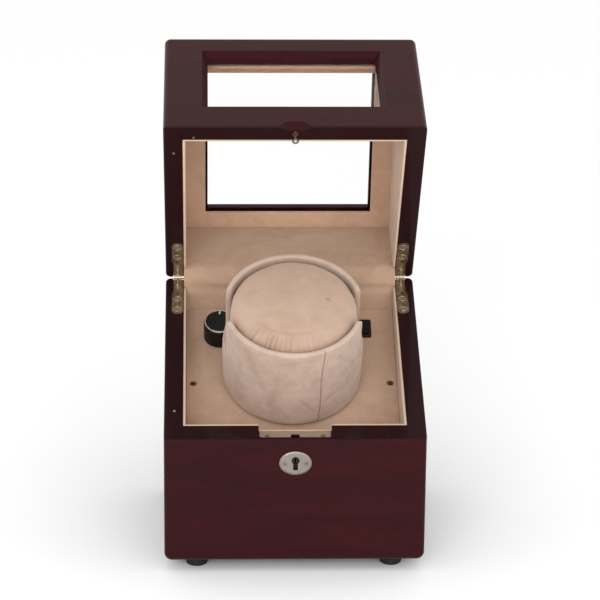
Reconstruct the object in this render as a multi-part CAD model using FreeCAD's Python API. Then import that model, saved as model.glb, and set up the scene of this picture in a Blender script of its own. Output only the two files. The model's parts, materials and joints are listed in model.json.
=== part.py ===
import FreeCAD, Part
import math
import os
from FreeCAD import Placement, Rotation, Vector

# Watch winder box: a lacquered box cut by a sloping plane into a base and a hinged lid, with a
# motor-driven suede cup on a tilted deck.  Every piece is modelled with the lid closed, in the box
# frame: X = 0 in the middle, Y = 0 at the front face, Z = 0 under the base boards.  The lid's pieces
# are then swung open to their stop, and the whole is moved to the part's frame.

# ---- driving dimensions, millimetres and degrees -------------------------------------------------
WIDTH = 165.0
DEPTH = 149.0
HEIGHT = 203.5
RIM_FRONT = 83.2            # height of the parting plane at the front face
RIM_REAR = 142.3            # and at the rear face, which is the hinge line
LID_OPEN = 74.8             # how far the lid stands open at its stop
SIDE_WALL = 12.0
FRONT_WALL = 12.0
REAR_WALL = 8.0
TOP_WALL = 12.0
BOTTOM_WALL = 9.0
LINING = 1.6
RIM_GAP = 0.3               # left between the two rims when the lid is shut
FIT_GAP = 0.3               # between pieces of different bodies, and loose pieces

EDGE_UPRIGHT = 3.5
EDGE_END = 5.5              # round the lid's top and the base's bottom
EDGE_RIM = 0.9

WINDOW_HALF = 58.2          # outer opening of both windows
FRONT_WINDOW = (109.2, 183.6)
TOP_WINDOW = (18.8, 130.2)
MOULDING = 3.7              # bevel round each window, as wide as it is deep
REBATE_DEPTH = 8.0          # from the outer face to the glass
REBATE_MARGIN = 4.5
GLASS = 3.0
LINING_SETBACK = 1.5        # the lining's cut-out stands back from the narrow opening

DECK_SLOPE = 28.3
DECK_THICKNESS = 4.0
DECK_SCREW = (64.3, -6.8)   # across, and up the deck from the drum's axis
DRUM_FOOT_Y = 87.0          # where the drum's axis meets the deck
DRUM_FOOT_Z = 94.7
DRUM_RADIUS = 45.3
DRUM_TOP = 67.6             # along the axis, from the deck
DRUM_WALL = 3.6
DRUM_LOW = 1.0
DRUM_FLOOR = 4.0
NOTCH_WIDTH = 25.2
NOTCH_DEPTH = 34.0
NOTCH_CORNER = 4.0
CUSHION_RADIUS = 41.2
CUSHION_CROWN = 7.4         # above the cup's top
CUSHION_SHOULDER = 7.6      # where its side begins to turn, below the cup's top
CUSHION_EDGE = 10.0

SPINDLE_RADIUS = 4.0
SPINDLE_FLANGE = 6.0
SPINDLE_END = -22.0         # heights on the axis are from the deck's top
CLIP = (-21.2, -20.4)
CLIP_SEAT = 3.2
BUSH_RADIUS = 8.0
RUNNING_CLEARANCE = 0.05
GEAR_MODULE = 0.75
GEAR_TEETH = 72
PINION_TEETH = 18
GEAR_FACE = 5.0
GEAR_TOP = -12.0
PRESSURE_ANGLE = 20.0
BACKLASH = 0.12
BRACKET_TOP = -18.0
BRACKET_THICKNESS = 2.0
BRACKET_X = 36.0
BRACKET_Y = (-50.0, 32.0)
GEARBOX_SCREW = 8.5

KNOB_X = -46.8
KNOB_Y = 34.3               # up the deck from the drum's axis
KNOB_RADIUS = 10.5
KNOB_HEIGHT = 15.5
SELECTOR_NECK = 4.5
SHAFT_RADIUS = 3.0
SWITCH_X = 48.5
SWITCH_Y = 40.8
BEZEL_HALF = (5.25, 7.5)
ROCKER_TILT = 7.0

FOOT_RADIUS = 7.0
FOOT_HEIGHT = 7.0
FOOT_X = 62.0
FOOT_INSET = 16.0
COVER_X = 44.0
COVER_Y = (36.0, 92.0)
COVER_THICKNESS = 2.0
BOARD_X = (-28.0, 28.0)
BOARD_Y = (96.0, 134.0)
BOARD_Z = 14.0
DC_X = 46.0
DC_Z = 30.0

LOCK_HALF = 23.0            # half length of the recess in the front rim
LOCK_RECESS = 3.6
LOCK_SKIN = 2.0             # wood left in front of the lock
LOCK_PLATE = 1.0
LOCK_SCREW_X = 17.5
KEYHOLE_Z = 69.2
KEYHOLE_DROP = 6.3          # from the round hole's centre to the slot's end
PLUG_RADIUS = 3.0
BOLT_PIN = 0.45
CASE_HALF = 19.0
CASE_LOW = 54.0
CASE_WALL = 0.8
ESCUTCHEON_Z = 67.3
ESCUTCHEON_HALF = (10.2, 7.8)
ESCUTCHEON_SCREW = 6.8
EYE_SLOPE_Y = 6.7           # up the rim from the front edge
EYE_DROP = 5.9              # from the rim plane to the ring's centre
EYE_SLOT = (2.8, 1.6)       # half sizes of the slot that takes the eye
SIDE_PIN = (-76.0, 26.8)    # across, and up the rim from the front edge
FRONT_PIN = (-63.4, 10.9)

HINGE_X = 74.6
HINGE_LEAF = 38.0
HINGE_BARREL = 2.2
PIN_RADIUS = 1.0
PIN_HEAD = 1.4
PIN_HEAD_LENGTH = 1.9
LEAF_THICKNESS = 1.6
PALM_HALF = 3.8
NECK_LENGTH = 17.0
KNUCKLE_LENGTH = 5.6
HINGE_SCREWS = (-11.0, -22.5, -33.0)    # from the hinge line, along the rim

# ---- derived -------------------------------------------------------------------------------------
HALF = WIDTH / 2
INNER_X = HALF - SIDE_WALL
INNER_REAR = DEPTH - REAR_WALL
LINED_X = INNER_X - LINING
LINED_FRONT = FRONT_WALL + LINING
LINED_REAR = INNER_REAR - LINING
INNER_TOP = HEIGHT - TOP_WALL
LINED_TOP = INNER_TOP - LINING
RIM_SLOPE = math.degrees(math.atan2(RIM_REAR - RIM_FRONT, DEPTH))
HINGE_LINE = Vector(0, DEPTH, RIM_REAR)
X_AXIS = Vector(1, 0, 0)
GEAR_RADIUS = GEAR_MODULE * GEAR_TEETH / 2
PINION_RADIUS = GEAR_MODULE * PINION_TEETH / 2
PINION_Y = -(GEAR_RADIUS + PINION_RADIUS)
RIM_LENGTH = math.hypot(DEPTH, RIM_REAR - RIM_FRONT)
BARREL_START = HINGE_X - PALM_HALF + 1.0
BARREL_END = BARREL_START + KNUCKLE_LENGTH
ROUND = 1 - math.sqrt(0.5)  # how far the middle of a quarter round lies from its corner's sides


# ---- shape helpers -------------------------------------------------------------------------------
def on_plane(plane, a, b, level):
    """A point (a, b) of a flat outline, at a level along the plane's normal."""
    if plane == "xy":
        return Vector(a, b, level)
    if plane == "xz":
        return Vector(a, level, b)
    return Vector(level, a, b)


def normal_of(plane):
    return {"xy": Vector(0, 0, 1), "xz": Vector(0, 1, 0), "yz": Vector(1, 0, 0)}[plane]


def outline(corners, plane, level):
    """A closed wire through corners (a, b, radius), each rounded by an arc."""
    count = len(corners)
    edges = []
    ends = []
    for i in range(count):
        a, b, radius = corners[i]
        here = Vector(a, b, 0)
        before = Vector(corners[i - 1][0], corners[i - 1][1], 0)
        after = Vector(corners[(i + 1) % count][0], corners[(i + 1) % count][1], 0)
        if radius <= 0:
            ends.append((here, here, here))
            continue
        back = (before - here).normalize()
        ahead = (after - here).normalize()
        half_angle = back.getAngle(ahead) / 2
        reach = radius / math.tan(half_angle)
        bisector = (back + ahead).normalize()
        middle = here + bisector * (radius / math.sin(half_angle) - radius)
        ends.append((here + back * reach, middle, here + ahead * reach))
    for i in range(count):
        start, middle, stop = [on_plane(plane, p.x, p.y, level) for p in ends[i]]
        if (start - stop).Length > 1e-6:
            edges.append(Part.Arc(start, middle, stop).toShape())
        following = ends[(i + 1) % count][0]
        following = on_plane(plane, following.x, following.y, level)
        if (stop - following).Length > 1e-6:
            edges.append(Part.LineSegment(stop, following).toShape())
    return Part.Wire(edges)


def prism(corners, plane, start, length):
    """A straight solid with a flat outline; its ends lie across the plane's normal."""
    face = Part.Face(outline(corners, plane, start))
    return face.extrude(normal_of(plane) * length)


def rectangle(low_a, high_a, low_b, high_b, radius=0.0):
    spots = [(low_a, low_b), (high_a, low_b), (high_a, high_b), (low_a, high_b)]
    return [(a, b, radius) for a, b in spots]


def box(x, y, z):
    """A block between the low and high ends of each axis."""
    return Part.makeBox(x[1] - x[0], y[1] - y[0], z[1] - z[0], Vector(x[0], y[0], z[0]))


def cylinder(radius, base, axis, length):
    return Part.makeCylinder(radius, length, Vector(*base), Vector(*axis))


def disc(radius, low, high, x=0.0, y=0.0):
    """An upright round between two heights."""
    return cylinder(radius, (x, y, low), (0, 0, 1), high - low)


def turned(profile, x=0.0, y=0.0):
    """A solid of revolution about an upright line, from (radius, height) points or arcs of three."""
    edges = []
    for first, second in zip(profile, profile[1:] + profile[:1]):
        start = Vector(first[0], 0, first[1])
        stop = Vector(second[0], 0, second[1])
        if len(second) == 4:
            edges.append(Part.Arc(start, Vector(second[2], 0, second[3]), stop).toShape())
        elif (start - stop).Length > 1e-6:
            edges.append(Part.LineSegment(start, stop).toShape())
    solid = Part.Face(Part.Wire(edges)).revolve(Vector(), Vector(0, 0, 1), 360)
    solid.translate(Vector(x, y, 0))
    return solid


def mirrored(shape):
    """The same shape on the other side of the middle plane."""
    return shape.mirror(Vector(), X_AXIS)


def fused(shapes):
    first = shapes[0]
    if len(shapes) == 1:
        return first
    return first.multiFuse(shapes[1:]).removeSplitter()


def group(shapes):
    """Separate solids kept in one node."""
    return Part.makeCompound([solid for shape in shapes for solid in shape.Solids])


def placed(shape, origin, slope):
    """Moves a shape from a tilted frame, where +Y runs up the slope, to the box frame."""
    moved = shape.copy()
    moved.Placement = Placement(origin, Rotation(X_AXIS, slope)).multiply(moved.Placement)
    return moved


def on_rim(shape):
    """From the rim's frame: +Y up the slope from the front edge, +Z out of the base."""
    return placed(shape, Vector(0, 0, RIM_FRONT), RIM_SLOPE)


def on_deck(shape):
    """From the deck's frame: the origin where the drum's axis meets the deck, +Z along the axis."""
    return placed(shape, Vector(0, DRUM_FOOT_Y, DRUM_FOOT_Z), DECK_SLOPE)


def beyond_rim(side, setback):
    """Everything above (side = 1) or below (side = -1) the rim plane, moved off it by a setback."""
    size = 3 * WIDTH
    low = setback if side > 0 else -setback - size
    return on_rim(Part.makeBox(2 * size, 2 * size, size, Vector(-size, -size, low)))


def countersunk_screw(head, shank, depth, length):
    """A flat-headed cross screw, head up at Z = 0, pointing down."""
    body = screw_hole(head, shank, depth, length).common(disc(2 * head, -length, 0))
    slots = [box((-head * 0.6, head * 0.6), (-0.22, 0.22), (-0.6, 1))]
    slots.append(box((-0.22, 0.22), (-head * 0.6, head * 0.6), (-0.6, 1)))
    return body.cut(fused(slots))


def screw_hole(head, shank, depth, length):
    """The hole that a countersunk screw fills."""
    return turned([(0, 1), (head, 1), (head, -0.3), (shank, -0.3 - depth), (shank, -length), (0, -length)])


def moved(shape, x=0.0, y=0.0, z=0.0):
    copy = shape.copy()
    copy.translate(Vector(x, y, z))
    return copy


# ---- the two wooden shells -----------------------------------------------------------------------
def rounded_block(low, high, round_end):
    """A block with round upright edges, and a round edge all along one of its ends."""
    block = box((-HALF, HALF), (0, DEPTH), (low, high))
    block = block.makeFillet(EDGE_UPRIGHT, [e for e in block.Edges if e.BoundBox.ZLength > 1])
    return block.makeFillet(EDGE_END, [e for e in block.Edges if on_level(e, round_end)])


def on_level(edge, level):
    return abs(edge.BoundBox.ZMin - level) < 1e-6 and edge.BoundBox.ZLength < 1e-6


def cut_at_rim(block, side, setback):
    """Keeps the part of a block inside a side view, and rounds the rim that this leaves."""
    half = block.common(prism(side, "yz", -HALF, WIDTH))
    normal = Vector(0, -math.sin(math.radians(RIM_SLOPE)), math.cos(math.radians(RIM_SLOPE)))
    rims = []
    for face in half.Faces:
        level = (face.CenterOfMass - Vector(0, 0, RIM_FRONT)).dot(normal)
        if abs(level - setback) < 0.01:
            rims.append(face)
    return half.makeFillet(EDGE_RIM, rims[0].Edges)


def base_block():
    drop = RIM_GAP / 2 / math.cos(math.radians(RIM_SLOPE))
    side = [(0, 0, 0), (DEPTH, 0, 0), (DEPTH, RIM_REAR - drop, 0), (0, RIM_FRONT - drop, 0)]
    return cut_at_rim(rounded_block(0, 2 * HEIGHT, 0), side, -RIM_GAP / 2)


def lid_block():
    rise = RIM_GAP / 2 / math.cos(math.radians(RIM_SLOPE))
    side = [(0, RIM_FRONT + rise, 0), (DEPTH, RIM_REAR + rise, 0), (DEPTH, HEIGHT, 0), (0, HEIGHT, 0)]
    return cut_at_rim(rounded_block(-HEIGHT, HEIGHT, HEIGHT), side, RIM_GAP / 2)


def mitred_walls(block, low, high):
    """Cuts a shell's block into its four mitred wall boards between two heights."""
    front = [(-HALF, 0, 0), (HALF, 0, 0), (INNER_X, FRONT_WALL, 0), (-INNER_X, FRONT_WALL, 0)]
    rear = [(-HALF, DEPTH, 0), (HALF, DEPTH, 0), (INNER_X, INNER_REAR, 0), (-INNER_X, INNER_REAR, 0)]
    right = [(HALF, 0, 0), (HALF, DEPTH, 0), (INNER_X, INNER_REAR, 0), (INNER_X, FRONT_WALL, 0)]
    left = [(-a, b, r) for a, b, r in right]
    plans = {"front": front, "rear": rear, "left": left, "right": right}
    return {name: block.common(prism(plan, "xy", low, high - low)) for name, plan in plans.items()}


def base_boards():
    walls = mitred_walls(base_block(), -1, HEIGHT)
    front = walls["front"].cut(fused([lock_recess(), lock_mortise(), keyhole(), *escutcheon_screw_holes()]))
    pockets = hinge_pockets(-1)
    rear = walls["rear"].cut(pockets).cut(dc_hole())
    left = walls["left"].cut(pockets).cut(rim_pin(*SIDE_PIN, -1))
    right = walls["right"].cut(pockets)
    return {"base_front_board": front, "base_rear_board": rear, "base_left_board": left,
            "base_right_board": right, "base_bottom_board": bottom_board()}


def bottom_board():
    board = box((-INNER_X, INNER_X), (FRONT_WALL, INNER_REAR), (0, BOTTOM_WALL))
    opening = prism(rectangle(-COVER_X + 7, COVER_X - 7, COVER_Y[0] + 7, COVER_Y[1] - 7, 4), "xy", -1, 20)
    seat = prism(rectangle(-COVER_X, COVER_X, *COVER_Y, 6), "xy", -1, COVER_THICKNESS + 1)
    holes = [screw_from_below(x, y, z, screw_hole) for x, y, z in underside_screw_places()]
    holes += [disc(1.5, BOTTOM_WALL - 3, BOTTOM_WALL + 1, x, y) for x, y in board_post_places()]
    return board.cut(fused([opening, seat])).cut(group(holes))


def lid_boards():
    block = lid_block()
    walls = mitred_walls(block, 0, INNER_TOP)
    front = walls["front"].cut(front_window()).cut(finger_scoop())
    front = front.cut(group([eye_hole(), rim_pin(*FRONT_PIN, 1)]))
    pockets = hinge_pockets(1)
    rear = walls["rear"].cut(pockets)
    left = walls["left"].cut(pockets).cut(rim_pin(*SIDE_PIN, 1))
    right = walls["right"].cut(pockets)
    top = block.common(box((-HALF, HALF), (0, DEPTH), (INNER_TOP, HEIGHT))).cut(top_window())
    return {"lid_front_board": front, "lid_rear_board": rear, "lid_left_board": left,
            "lid_right_board": right, "lid_top_board": top}


def finger_scoop():
    """A ball-shaped hollow in the lid's lower front edge, for a fingertip."""
    return Part.makeSphere(13.9, Vector(0, -9.0, RIM_FRONT - 2.6))


# ---- windows -------------------------------------------------------------------------------------
def window_cutter(low, high):
    """Cuts a window in a board whose outer face is Z = 0 and whose inner face is Z = FRONT_WALL."""
    outer = rectangle(-WINDOW_HALF, WINDOW_HALF, low, high)
    narrow_x = WINDOW_HALF - MOULDING
    narrow = rectangle(-narrow_x, narrow_x, low + MOULDING, high - MOULDING)
    bevel = Part.makeLoft([outline(outer, "xy", 0), outline(narrow, "xy", MOULDING)], True)
    mouth = prism(outer, "xy", -1, 1)
    throat = prism(narrow, "xy", MOULDING, FRONT_WALL)
    rebate = prism(rebate_outline(low, high, 0), "xy", REBATE_DEPTH, FRONT_WALL)
    return fused([mouth, bevel, throat, rebate])


def rebate_outline(low, high, slack):
    half = WINDOW_HALF - MOULDING + REBATE_MARGIN - slack
    margin = MOULDING - REBATE_MARGIN + slack
    return rectangle(-half, half, low + margin, high - margin)


def lining_opening(low, high):
    half = WINDOW_HALF - MOULDING + LINING_SETBACK
    margin = MOULDING - LINING_SETBACK
    return rectangle(-half, half, low + margin, high - margin)


def window_glass(low, high):
    return prism(rebate_outline(low, high, 0.2), "xy", REBATE_DEPTH, GLASS)


def window_bead(low, high):
    """A thin frame that fills the rebate behind the glass."""
    depth = FRONT_WALL - REBATE_DEPTH - GLASS
    ring = prism(rebate_outline(low, high, 0.2), "xy", REBATE_DEPTH + GLASS, depth)
    return ring.cut(prism(lining_opening(low, high), "xy", 0, 2 * FRONT_WALL))


def in_front(shape):
    """From a window's frame to the lid's front board: +Y becomes up, +Z becomes inwards."""
    turned_shape = shape.copy()
    turned_shape.rotate(Vector(), X_AXIS, 90)
    return turned_shape.mirror(Vector(), Vector(0, 1, 0))


def in_top(shape):
    """From a window's frame to the lid's top board: +Z becomes down."""
    return moved(shape.mirror(Vector(), Vector(0, 0, 1)), z=HEIGHT)


def front_window():
    return in_front(window_cutter(*FRONT_WINDOW))


def top_window():
    return in_top(window_cutter(*TOP_WINDOW))


def glazing():
    beads = [in_front(window_bead(*FRONT_WINDOW)), in_top(window_bead(*TOP_WINDOW))]
    return {"front_glass": in_front(window_glass(*FRONT_WINDOW)),
            "top_glass": in_top(window_glass(*TOP_WINDOW)), "glazing_beads": group(beads)}


# ---- linings -------------------------------------------------------------------------------------
def base_linings():
    below = beyond_rim(-1, RIM_GAP)
    low = BOTTOM_WALL
    tall = (low, HEIGHT)
    front = box((-INNER_X, INNER_X), (FRONT_WALL, LINED_FRONT), tall).common(below).cut(lock_recess())
    rear = box((-INNER_X, INNER_X), (LINED_REAR, INNER_REAR), tall).common(below).cut(dc_hole())
    right = box((LINED_X, INNER_X), (LINED_FRONT, LINED_REAR), tall).common(below)
    return {"base_lining_front": front, "base_lining_rear": rear, "base_side_linings": both_sides(right)}


def lid_linings():
    above = beyond_rim(1, RIM_GAP)
    tall = (0, LINED_TOP)
    front = box((-INNER_X, INNER_X), (FRONT_WALL, LINED_FRONT), (0, INNER_TOP)).common(above)
    front = front.cut(in_front(prism(lining_opening(*FRONT_WINDOW), "xy", 0, 2 * FRONT_WALL)))
    rear = box((-INNER_X, INNER_X), (LINED_REAR, INNER_REAR), (0, INNER_TOP)).common(above)
    right = box((LINED_X, INNER_X), (LINED_FRONT, LINED_REAR), tall).common(above)
    top = box((-INNER_X, INNER_X), (LINED_FRONT, LINED_REAR), (LINED_TOP, INNER_TOP))
    top = top.cut(in_top(prism(lining_opening(*TOP_WINDOW), "xy", 0, 2 * TOP_WALL)))
    return {"lid_lining_front": front, "lid_lining_rear": rear, "lid_lining_top": top,
            "lid_side_linings": both_sides(right)}


def hinge_flap():
    """The strip of suede that carries the rear lining from the base to the open lid."""
    thickness = 0.8
    normal_drop = RIM_GAP / math.cos(math.radians(RIM_SLOPE))
    rim_at_lining = RIM_REAR - (DEPTH - LINED_REAR) * math.tan(math.radians(RIM_SLOPE))
    base_edge = Vector(0, LINED_REAR + 0.1, rim_at_lining - normal_drop + 0.1)
    lid_edge = Part.Vertex(0, LINED_REAR + 0.1, rim_at_lining + normal_drop - 0.1)
    lid_edge = opened(lid_edge).Point
    along = (lid_edge - base_edge).normalize()
    behind = Vector(0, along.z, -along.y) * thickness
    corners = [base_edge, base_edge + behind, lid_edge + behind, lid_edge]
    strip = prism([(p.y, p.z, 0) for p in corners], "yz", -INNER_X, 2 * INNER_X)
    return strip.cut(beyond_rim(-1, RIM_GAP - 0.05)).cut(opened(beyond_rim(1, RIM_GAP - 0.05)))


# ---- deck ----------------------------------------------------------------------------------------
def inside_base():
    """The room between the linings, less a little slack."""
    slack = 0.1
    return box((-LINED_X + slack, LINED_X - slack), (LINED_FRONT + slack, LINED_REAR - slack),
               (BOTTOM_WALL, HEIGHT))


def deck():
    plate = on_deck(box((-HALF, HALF), (-DEPTH, DEPTH), (-DECK_THICKNESS, 0))).common(inside_base())
    holes = [disc(BUSH_RADIUS, -50, 10), disc(SELECTOR_NECK, -50, 10, KNOB_X, KNOB_Y)]
    holes.append(rocker_body())
    for side in (-1, 1):
        holes.append(disc(2.3, -1.4, 10, side * DECK_SCREW[0], DECK_SCREW[1]))
        holes.append(disc(0.8, -50, 10, side * DECK_SCREW[0], DECK_SCREW[1]))
    return plate.cut(on_deck(group(holes)))


def deck_rails():
    right = box((LINED_X - 8.1, LINED_X + 1), (-DEPTH, DEPTH), (-DECK_THICKNESS - 8, -DECK_THICKNESS))
    right = right.cut(disc(0.8, -50, 10, DECK_SCREW[0], DECK_SCREW[1]))
    right = on_deck(right).common(inside_base())
    return group([right, mirrored(right)])


def deck_screws():
    head = disc(1.9, -1.4, -0.6).cut(box((-1.2, 1.2), (-0.25, 0.25), (-1.0, 0)))
    screw = fused([head, disc(0.8, -11, -1.4)])
    return group([on_deck(moved(screw, side * DECK_SCREW[0], DECK_SCREW[1])) for side in (-1, 1)])


# ---- drum ----------------------------------------------------------------------------------------
def notch_cutter():
    """The two finger notches: a slot right across the cup with soft corners."""
    half = NOTCH_WIDTH / 2
    low = DRUM_TOP - NOTCH_DEPTH
    high = DRUM_TOP + 0.01
    flare = half + NOTCH_CORNER + 1
    corners = [(-half, low, NOTCH_CORNER), (half, low, NOTCH_CORNER), (half, high, NOTCH_CORNER),
               (flare, high, 0), (flare, high + 9, 0), (-flare, high + 9, 0), (-flare, high, 0),
               (-half, high, NOTCH_CORNER)]
    return prism(corners, "yz", -2 * DRUM_RADIUS, 4 * DRUM_RADIUS)


def drum_cup():
    """The cup's wall, open at both ends."""
    inner = DRUM_RADIUS - DRUM_WALL
    low, top, edge, foot = DRUM_LOW, DRUM_TOP, 1.2, 3.0
    profile = [
        (inner, low),
        (DRUM_RADIUS - foot, low),
        (DRUM_RADIUS, low + foot, DRUM_RADIUS - foot * ROUND, low + foot * ROUND),
        (DRUM_RADIUS, top - edge),
        (DRUM_RADIUS - edge, top, DRUM_RADIUS - edge * ROUND, top - edge * ROUND),
        (inner + edge, top),
        (inner, top - edge, inner + edge * ROUND, top - edge * ROUND),
    ]
    return turned(profile).cut(notch_cutter())


def drum_floor():
    """The disc glued into the foot of the cup's wall."""
    disc_radius = DRUM_RADIUS - DRUM_WALL
    return disc(disc_radius, DRUM_LOW, DRUM_LOW + DRUM_FLOOR).cut(disc(SPINDLE_FLANGE, 0, 10))


def drum_spindle():
    """Shaft with a flange under the cup's floor and a boss that fills the cup's hub."""
    top = DRUM_LOW + DRUM_FLOOR
    profile = [(0, top), (SPINDLE_FLANGE, top), (SPINDLE_FLANGE, 0.4),
               (SPINDLE_RADIUS, 0.4), (SPINDLE_RADIUS, SPINDLE_END), (0, SPINDLE_END)]
    return turned(profile).cut(clip_ring(10))


def clip_ring(radius):
    return disc(radius, *CLIP).cut(disc(CLIP_SEAT, *CLIP))


def spindle_clip():
    """Open ring in the spindle's groove, under the bracket."""
    return clip_ring(6.0).cut(box((-2.2, 2.2), (-10, 0), CLIP))


def involute_gear(teeth, bore, low, face, start_angle):
    """A spur gear; one tooth is centred on start_angle, in degrees."""
    pitch = GEAR_MODULE * teeth / 2
    base = pitch * math.cos(math.radians(PRESSURE_ANGLE))
    tip = pitch + GEAR_MODULE
    root = pitch - 1.25 * GEAR_MODULE

    def flank_angle(radius):
        turn = math.sqrt(max((radius / base) ** 2 - 1, 0))
        return turn - math.atan(turn)

    half_tooth = math.pi / (2 * teeth) - BACKLASH / (2 * pitch) + flank_angle(pitch)
    radii = [max(base, root) + (tip - max(base, root)) * step / 4 for step in range(5)]
    edges = []
    previous = None
    for tooth in range(teeth):
        centre = math.radians(start_angle) + 2 * math.pi * tooth / teeth
        rising = [polar(r, centre - half_tooth + flank_angle(r)) for r in radii]
        falling = [polar(r, centre + half_tooth - flank_angle(r)) for r in reversed(radii)]
        path = [polar(root, centre - half_tooth), *rising, *falling, polar(root, centre + half_tooth)]
        if previous:
            path.insert(0, previous)
        for start, stop in zip(path, path[1:]):
            if (start - stop).Length > 1e-6:
                edges.append(Part.LineSegment(start, stop).toShape())
        previous = path[-1]
    first = edges[0].Vertexes[0].Point
    edges.append(Part.LineSegment(previous, first).toShape())
    blank = Part.Face(Part.Wire(edges)).extrude(Vector(0, 0, face))
    return moved(blank, z=low).cut(disc(bore, low - 1, low + face + 1))


def polar(radius, angle):
    return Vector(radius * math.cos(angle), radius * math.sin(angle), 0)


def drum_gear():
    """Tooth on the line to the pinion, with a hub on the spindle and lightening holes."""
    gear = involute_gear(GEAR_TEETH, SPINDLE_RADIUS, GEAR_TOP - GEAR_FACE, GEAR_FACE, 0)
    hub = disc(8, GEAR_TOP, GEAR_TOP + 4).cut(disc(SPINDLE_RADIUS, -40, 10))
    holes = []
    for step in range(6):
        spot = polar(16, math.radians(60 * step + 30))
        holes.append(disc(4, -40, 10, spot.x, spot.y))
    return fused([gear, hub]).cut(group(holes))


def motor_pinion():
    """Space on the line to the gear; its shaft runs down into the gearbox."""
    gear = involute_gear(PINION_TEETH, 0.01, GEAR_TOP - GEAR_FACE, GEAR_FACE, 90 + 180 / PINION_TEETH)
    solid = fused([gear, disc(4, GEAR_TOP, GEAR_TOP + 2), disc(1.5, -26, GEAR_TOP)])
    return moved(solid, y=PINION_Y)


# ---- cushion -------------------------------------------------------------------------------------
def watch_cushion():
    """The removable watch cushion: a soft round filling the cup, its flat crown turning down at the edge."""
    low = 1 + DRUM_FLOOR + FIT_GAP
    side, soft, edge = CUSHION_RADIUS, 5.0, CUSHION_EDGE
    crown = DRUM_TOP + CUSHION_CROWN
    shoulder = DRUM_TOP - CUSHION_SHOULDER
    reach = side - edge
    rise = crown - shoulder
    ball = (reach ** 2 + rise ** 2 - edge ** 2) / (2 * (rise - edge))
    turn = math.asin(reach / (ball - edge))
    corner = math.pi / 4 - turn / 2
    return turned([(0, low), (side - soft, low), (side, low + soft, side - soft * ROUND, low + soft * ROUND),
                   (side, shoulder),
                   (ball * math.sin(turn), crown - ball * (1 - math.cos(turn)),
                    reach + edge * math.cos(corner), shoulder + edge * math.sin(corner)),
                   (0, crown, ball * math.sin(turn / 2), crown - ball * (1 - math.cos(turn / 2)))])


# ---- controls on the deck ------------------------------------------------------------------------
def selector_switch():
    """Rotary switch under the deck: a case, a threaded neck through the deck and a nut."""
    case = prism(rectangle(-8, 8, -8, 8, 1), "xy", -13, 13 - DECK_THICKNESS)
    neck = disc(SELECTOR_NECK, -DECK_THICKNESS, 0.2)
    pins = [box((x - 0.4, x + 0.4), (-9.5, -8), (-11, -10.2)) for x in (-5, 0, 5)]
    bore = disc(SHAFT_RADIUS + RUNNING_CLEARANCE, -11, 5)
    return moved(fused([case, neck, *pins]).cut(bore), KNOB_X, KNOB_Y)


def selector_knob():
    """A turned knob with a groove for the ring at its top edge, on the switch's shaft."""
    radius, high = KNOB_RADIUS, KNOB_HEIGHT
    top = radius - 1.2
    profile = [(0, 0.6), (radius - 0.4, 0.6), (radius, 1.0), (radius, high - 2.2),
               (radius - 0.5, high - 1.2), (top, high - 1.2), (top, high - 0.3),
               (top - 0.3, high), (0, high + 0.2)]
    shaft = disc(SHAFT_RADIUS, -10.5, 1)
    return moved(fused([turned(profile), shaft]), KNOB_X, KNOB_Y)


def knob_ring():
    top, high = KNOB_RADIUS - 1.2, KNOB_HEIGHT
    profile = [(top, high - 1.2), (KNOB_RADIUS - 0.5, high - 1.2), (KNOB_RADIUS - 0.35, high - 0.8),
               (KNOB_RADIUS - 0.6, high - 0.3), (top, high - 0.3)]
    return moved(turned(profile), KNOB_X, KNOB_Y)


def rocker_body():
    return moved(box((-4.4, 4.4), (-6.75, 6.75), (-12, 0)), SWITCH_X, SWITCH_Y)


def rocker_housing():
    bezel = prism(rectangle(-BEZEL_HALF[0], BEZEL_HALF[0], -BEZEL_HALF[1], BEZEL_HALF[1], 1), "xy", 0, 1.8)
    bezel = bezel.makeFillet(0.5, [e for e in bezel.Edges if e.BoundBox.ZMin > 1.7])
    well = box((-3.7, 3.7), (-6.1, 6.1), (-6, 5))
    tabs = [box((x - 0.4, x + 0.4), (y - 1.2, y + 1.2), (-17, -12)) for x, y in ((0, -4), (0, 4))]
    outside = fused([moved(fused([bezel, *tabs]), SWITCH_X, SWITCH_Y), rocker_body()])
    return outside.cut(moved(well, SWITCH_X, SWITCH_Y))


def rocker_cap():
    """Two-faced rocker that tips about a line across the switch; it rests tipped one way."""
    round_block = cylinder(5.9, (-3.4, 0, 0), (1, 0, 0), 6.8)
    middle = 3.2
    ends = middle + 8 * math.tan(math.radians(ROCKER_TILT))
    face = [(-8, -2.5, 0), (8, -2.5, 0), (8, ends, 0), (0, middle, 0), (-8, ends, 0)]
    cap = round_block.common(prism(face, "yz", -5, 10))
    cap.rotate(Vector(), X_AXIS, ROCKER_TILT)
    return moved(cap, SWITCH_X, SWITCH_Y)


# ---- drive under the deck ------------------------------------------------------------------------
def spindle_bush():
    """Flanged bush pressed through the deck."""
    flange = disc(13, -DECK_THICKNESS - 2, -DECK_THICKNESS)
    sleeve = disc(BUSH_RADIUS, -DECK_THICKNESS - 2, 0)
    return fused([flange, sleeve]).cut(disc(SPINDLE_RADIUS + RUNNING_CLEARANCE, -50, 10))


def drive_bracket():
    """A plate hung from the deck on four posts that stand outside the drum gear."""
    plan = rectangle(-BRACKET_X, BRACKET_X, *BRACKET_Y, 4)
    plate = prism(plan, "xy", BRACKET_TOP - BRACKET_THICKNESS, BRACKET_THICKNESS)
    posts = [disc(3, BRACKET_TOP, -DECK_THICKNESS, x, y) for x, y in bracket_posts()]
    holes = [disc(SPINDLE_RADIUS + RUNNING_CLEARANCE, -50, 10), disc(3.5, -50, 10, 0, PINION_Y)]
    holes += [disc(1.2, -50, -14, x, y) for x, y in bracket_posts()]
    holes += [disc(1.2, -50, 10, x, PINION_Y) for x in (-GEARBOX_SCREW, GEARBOX_SCREW)]
    return fused([plate, *posts]).cut(group(holes))


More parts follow.
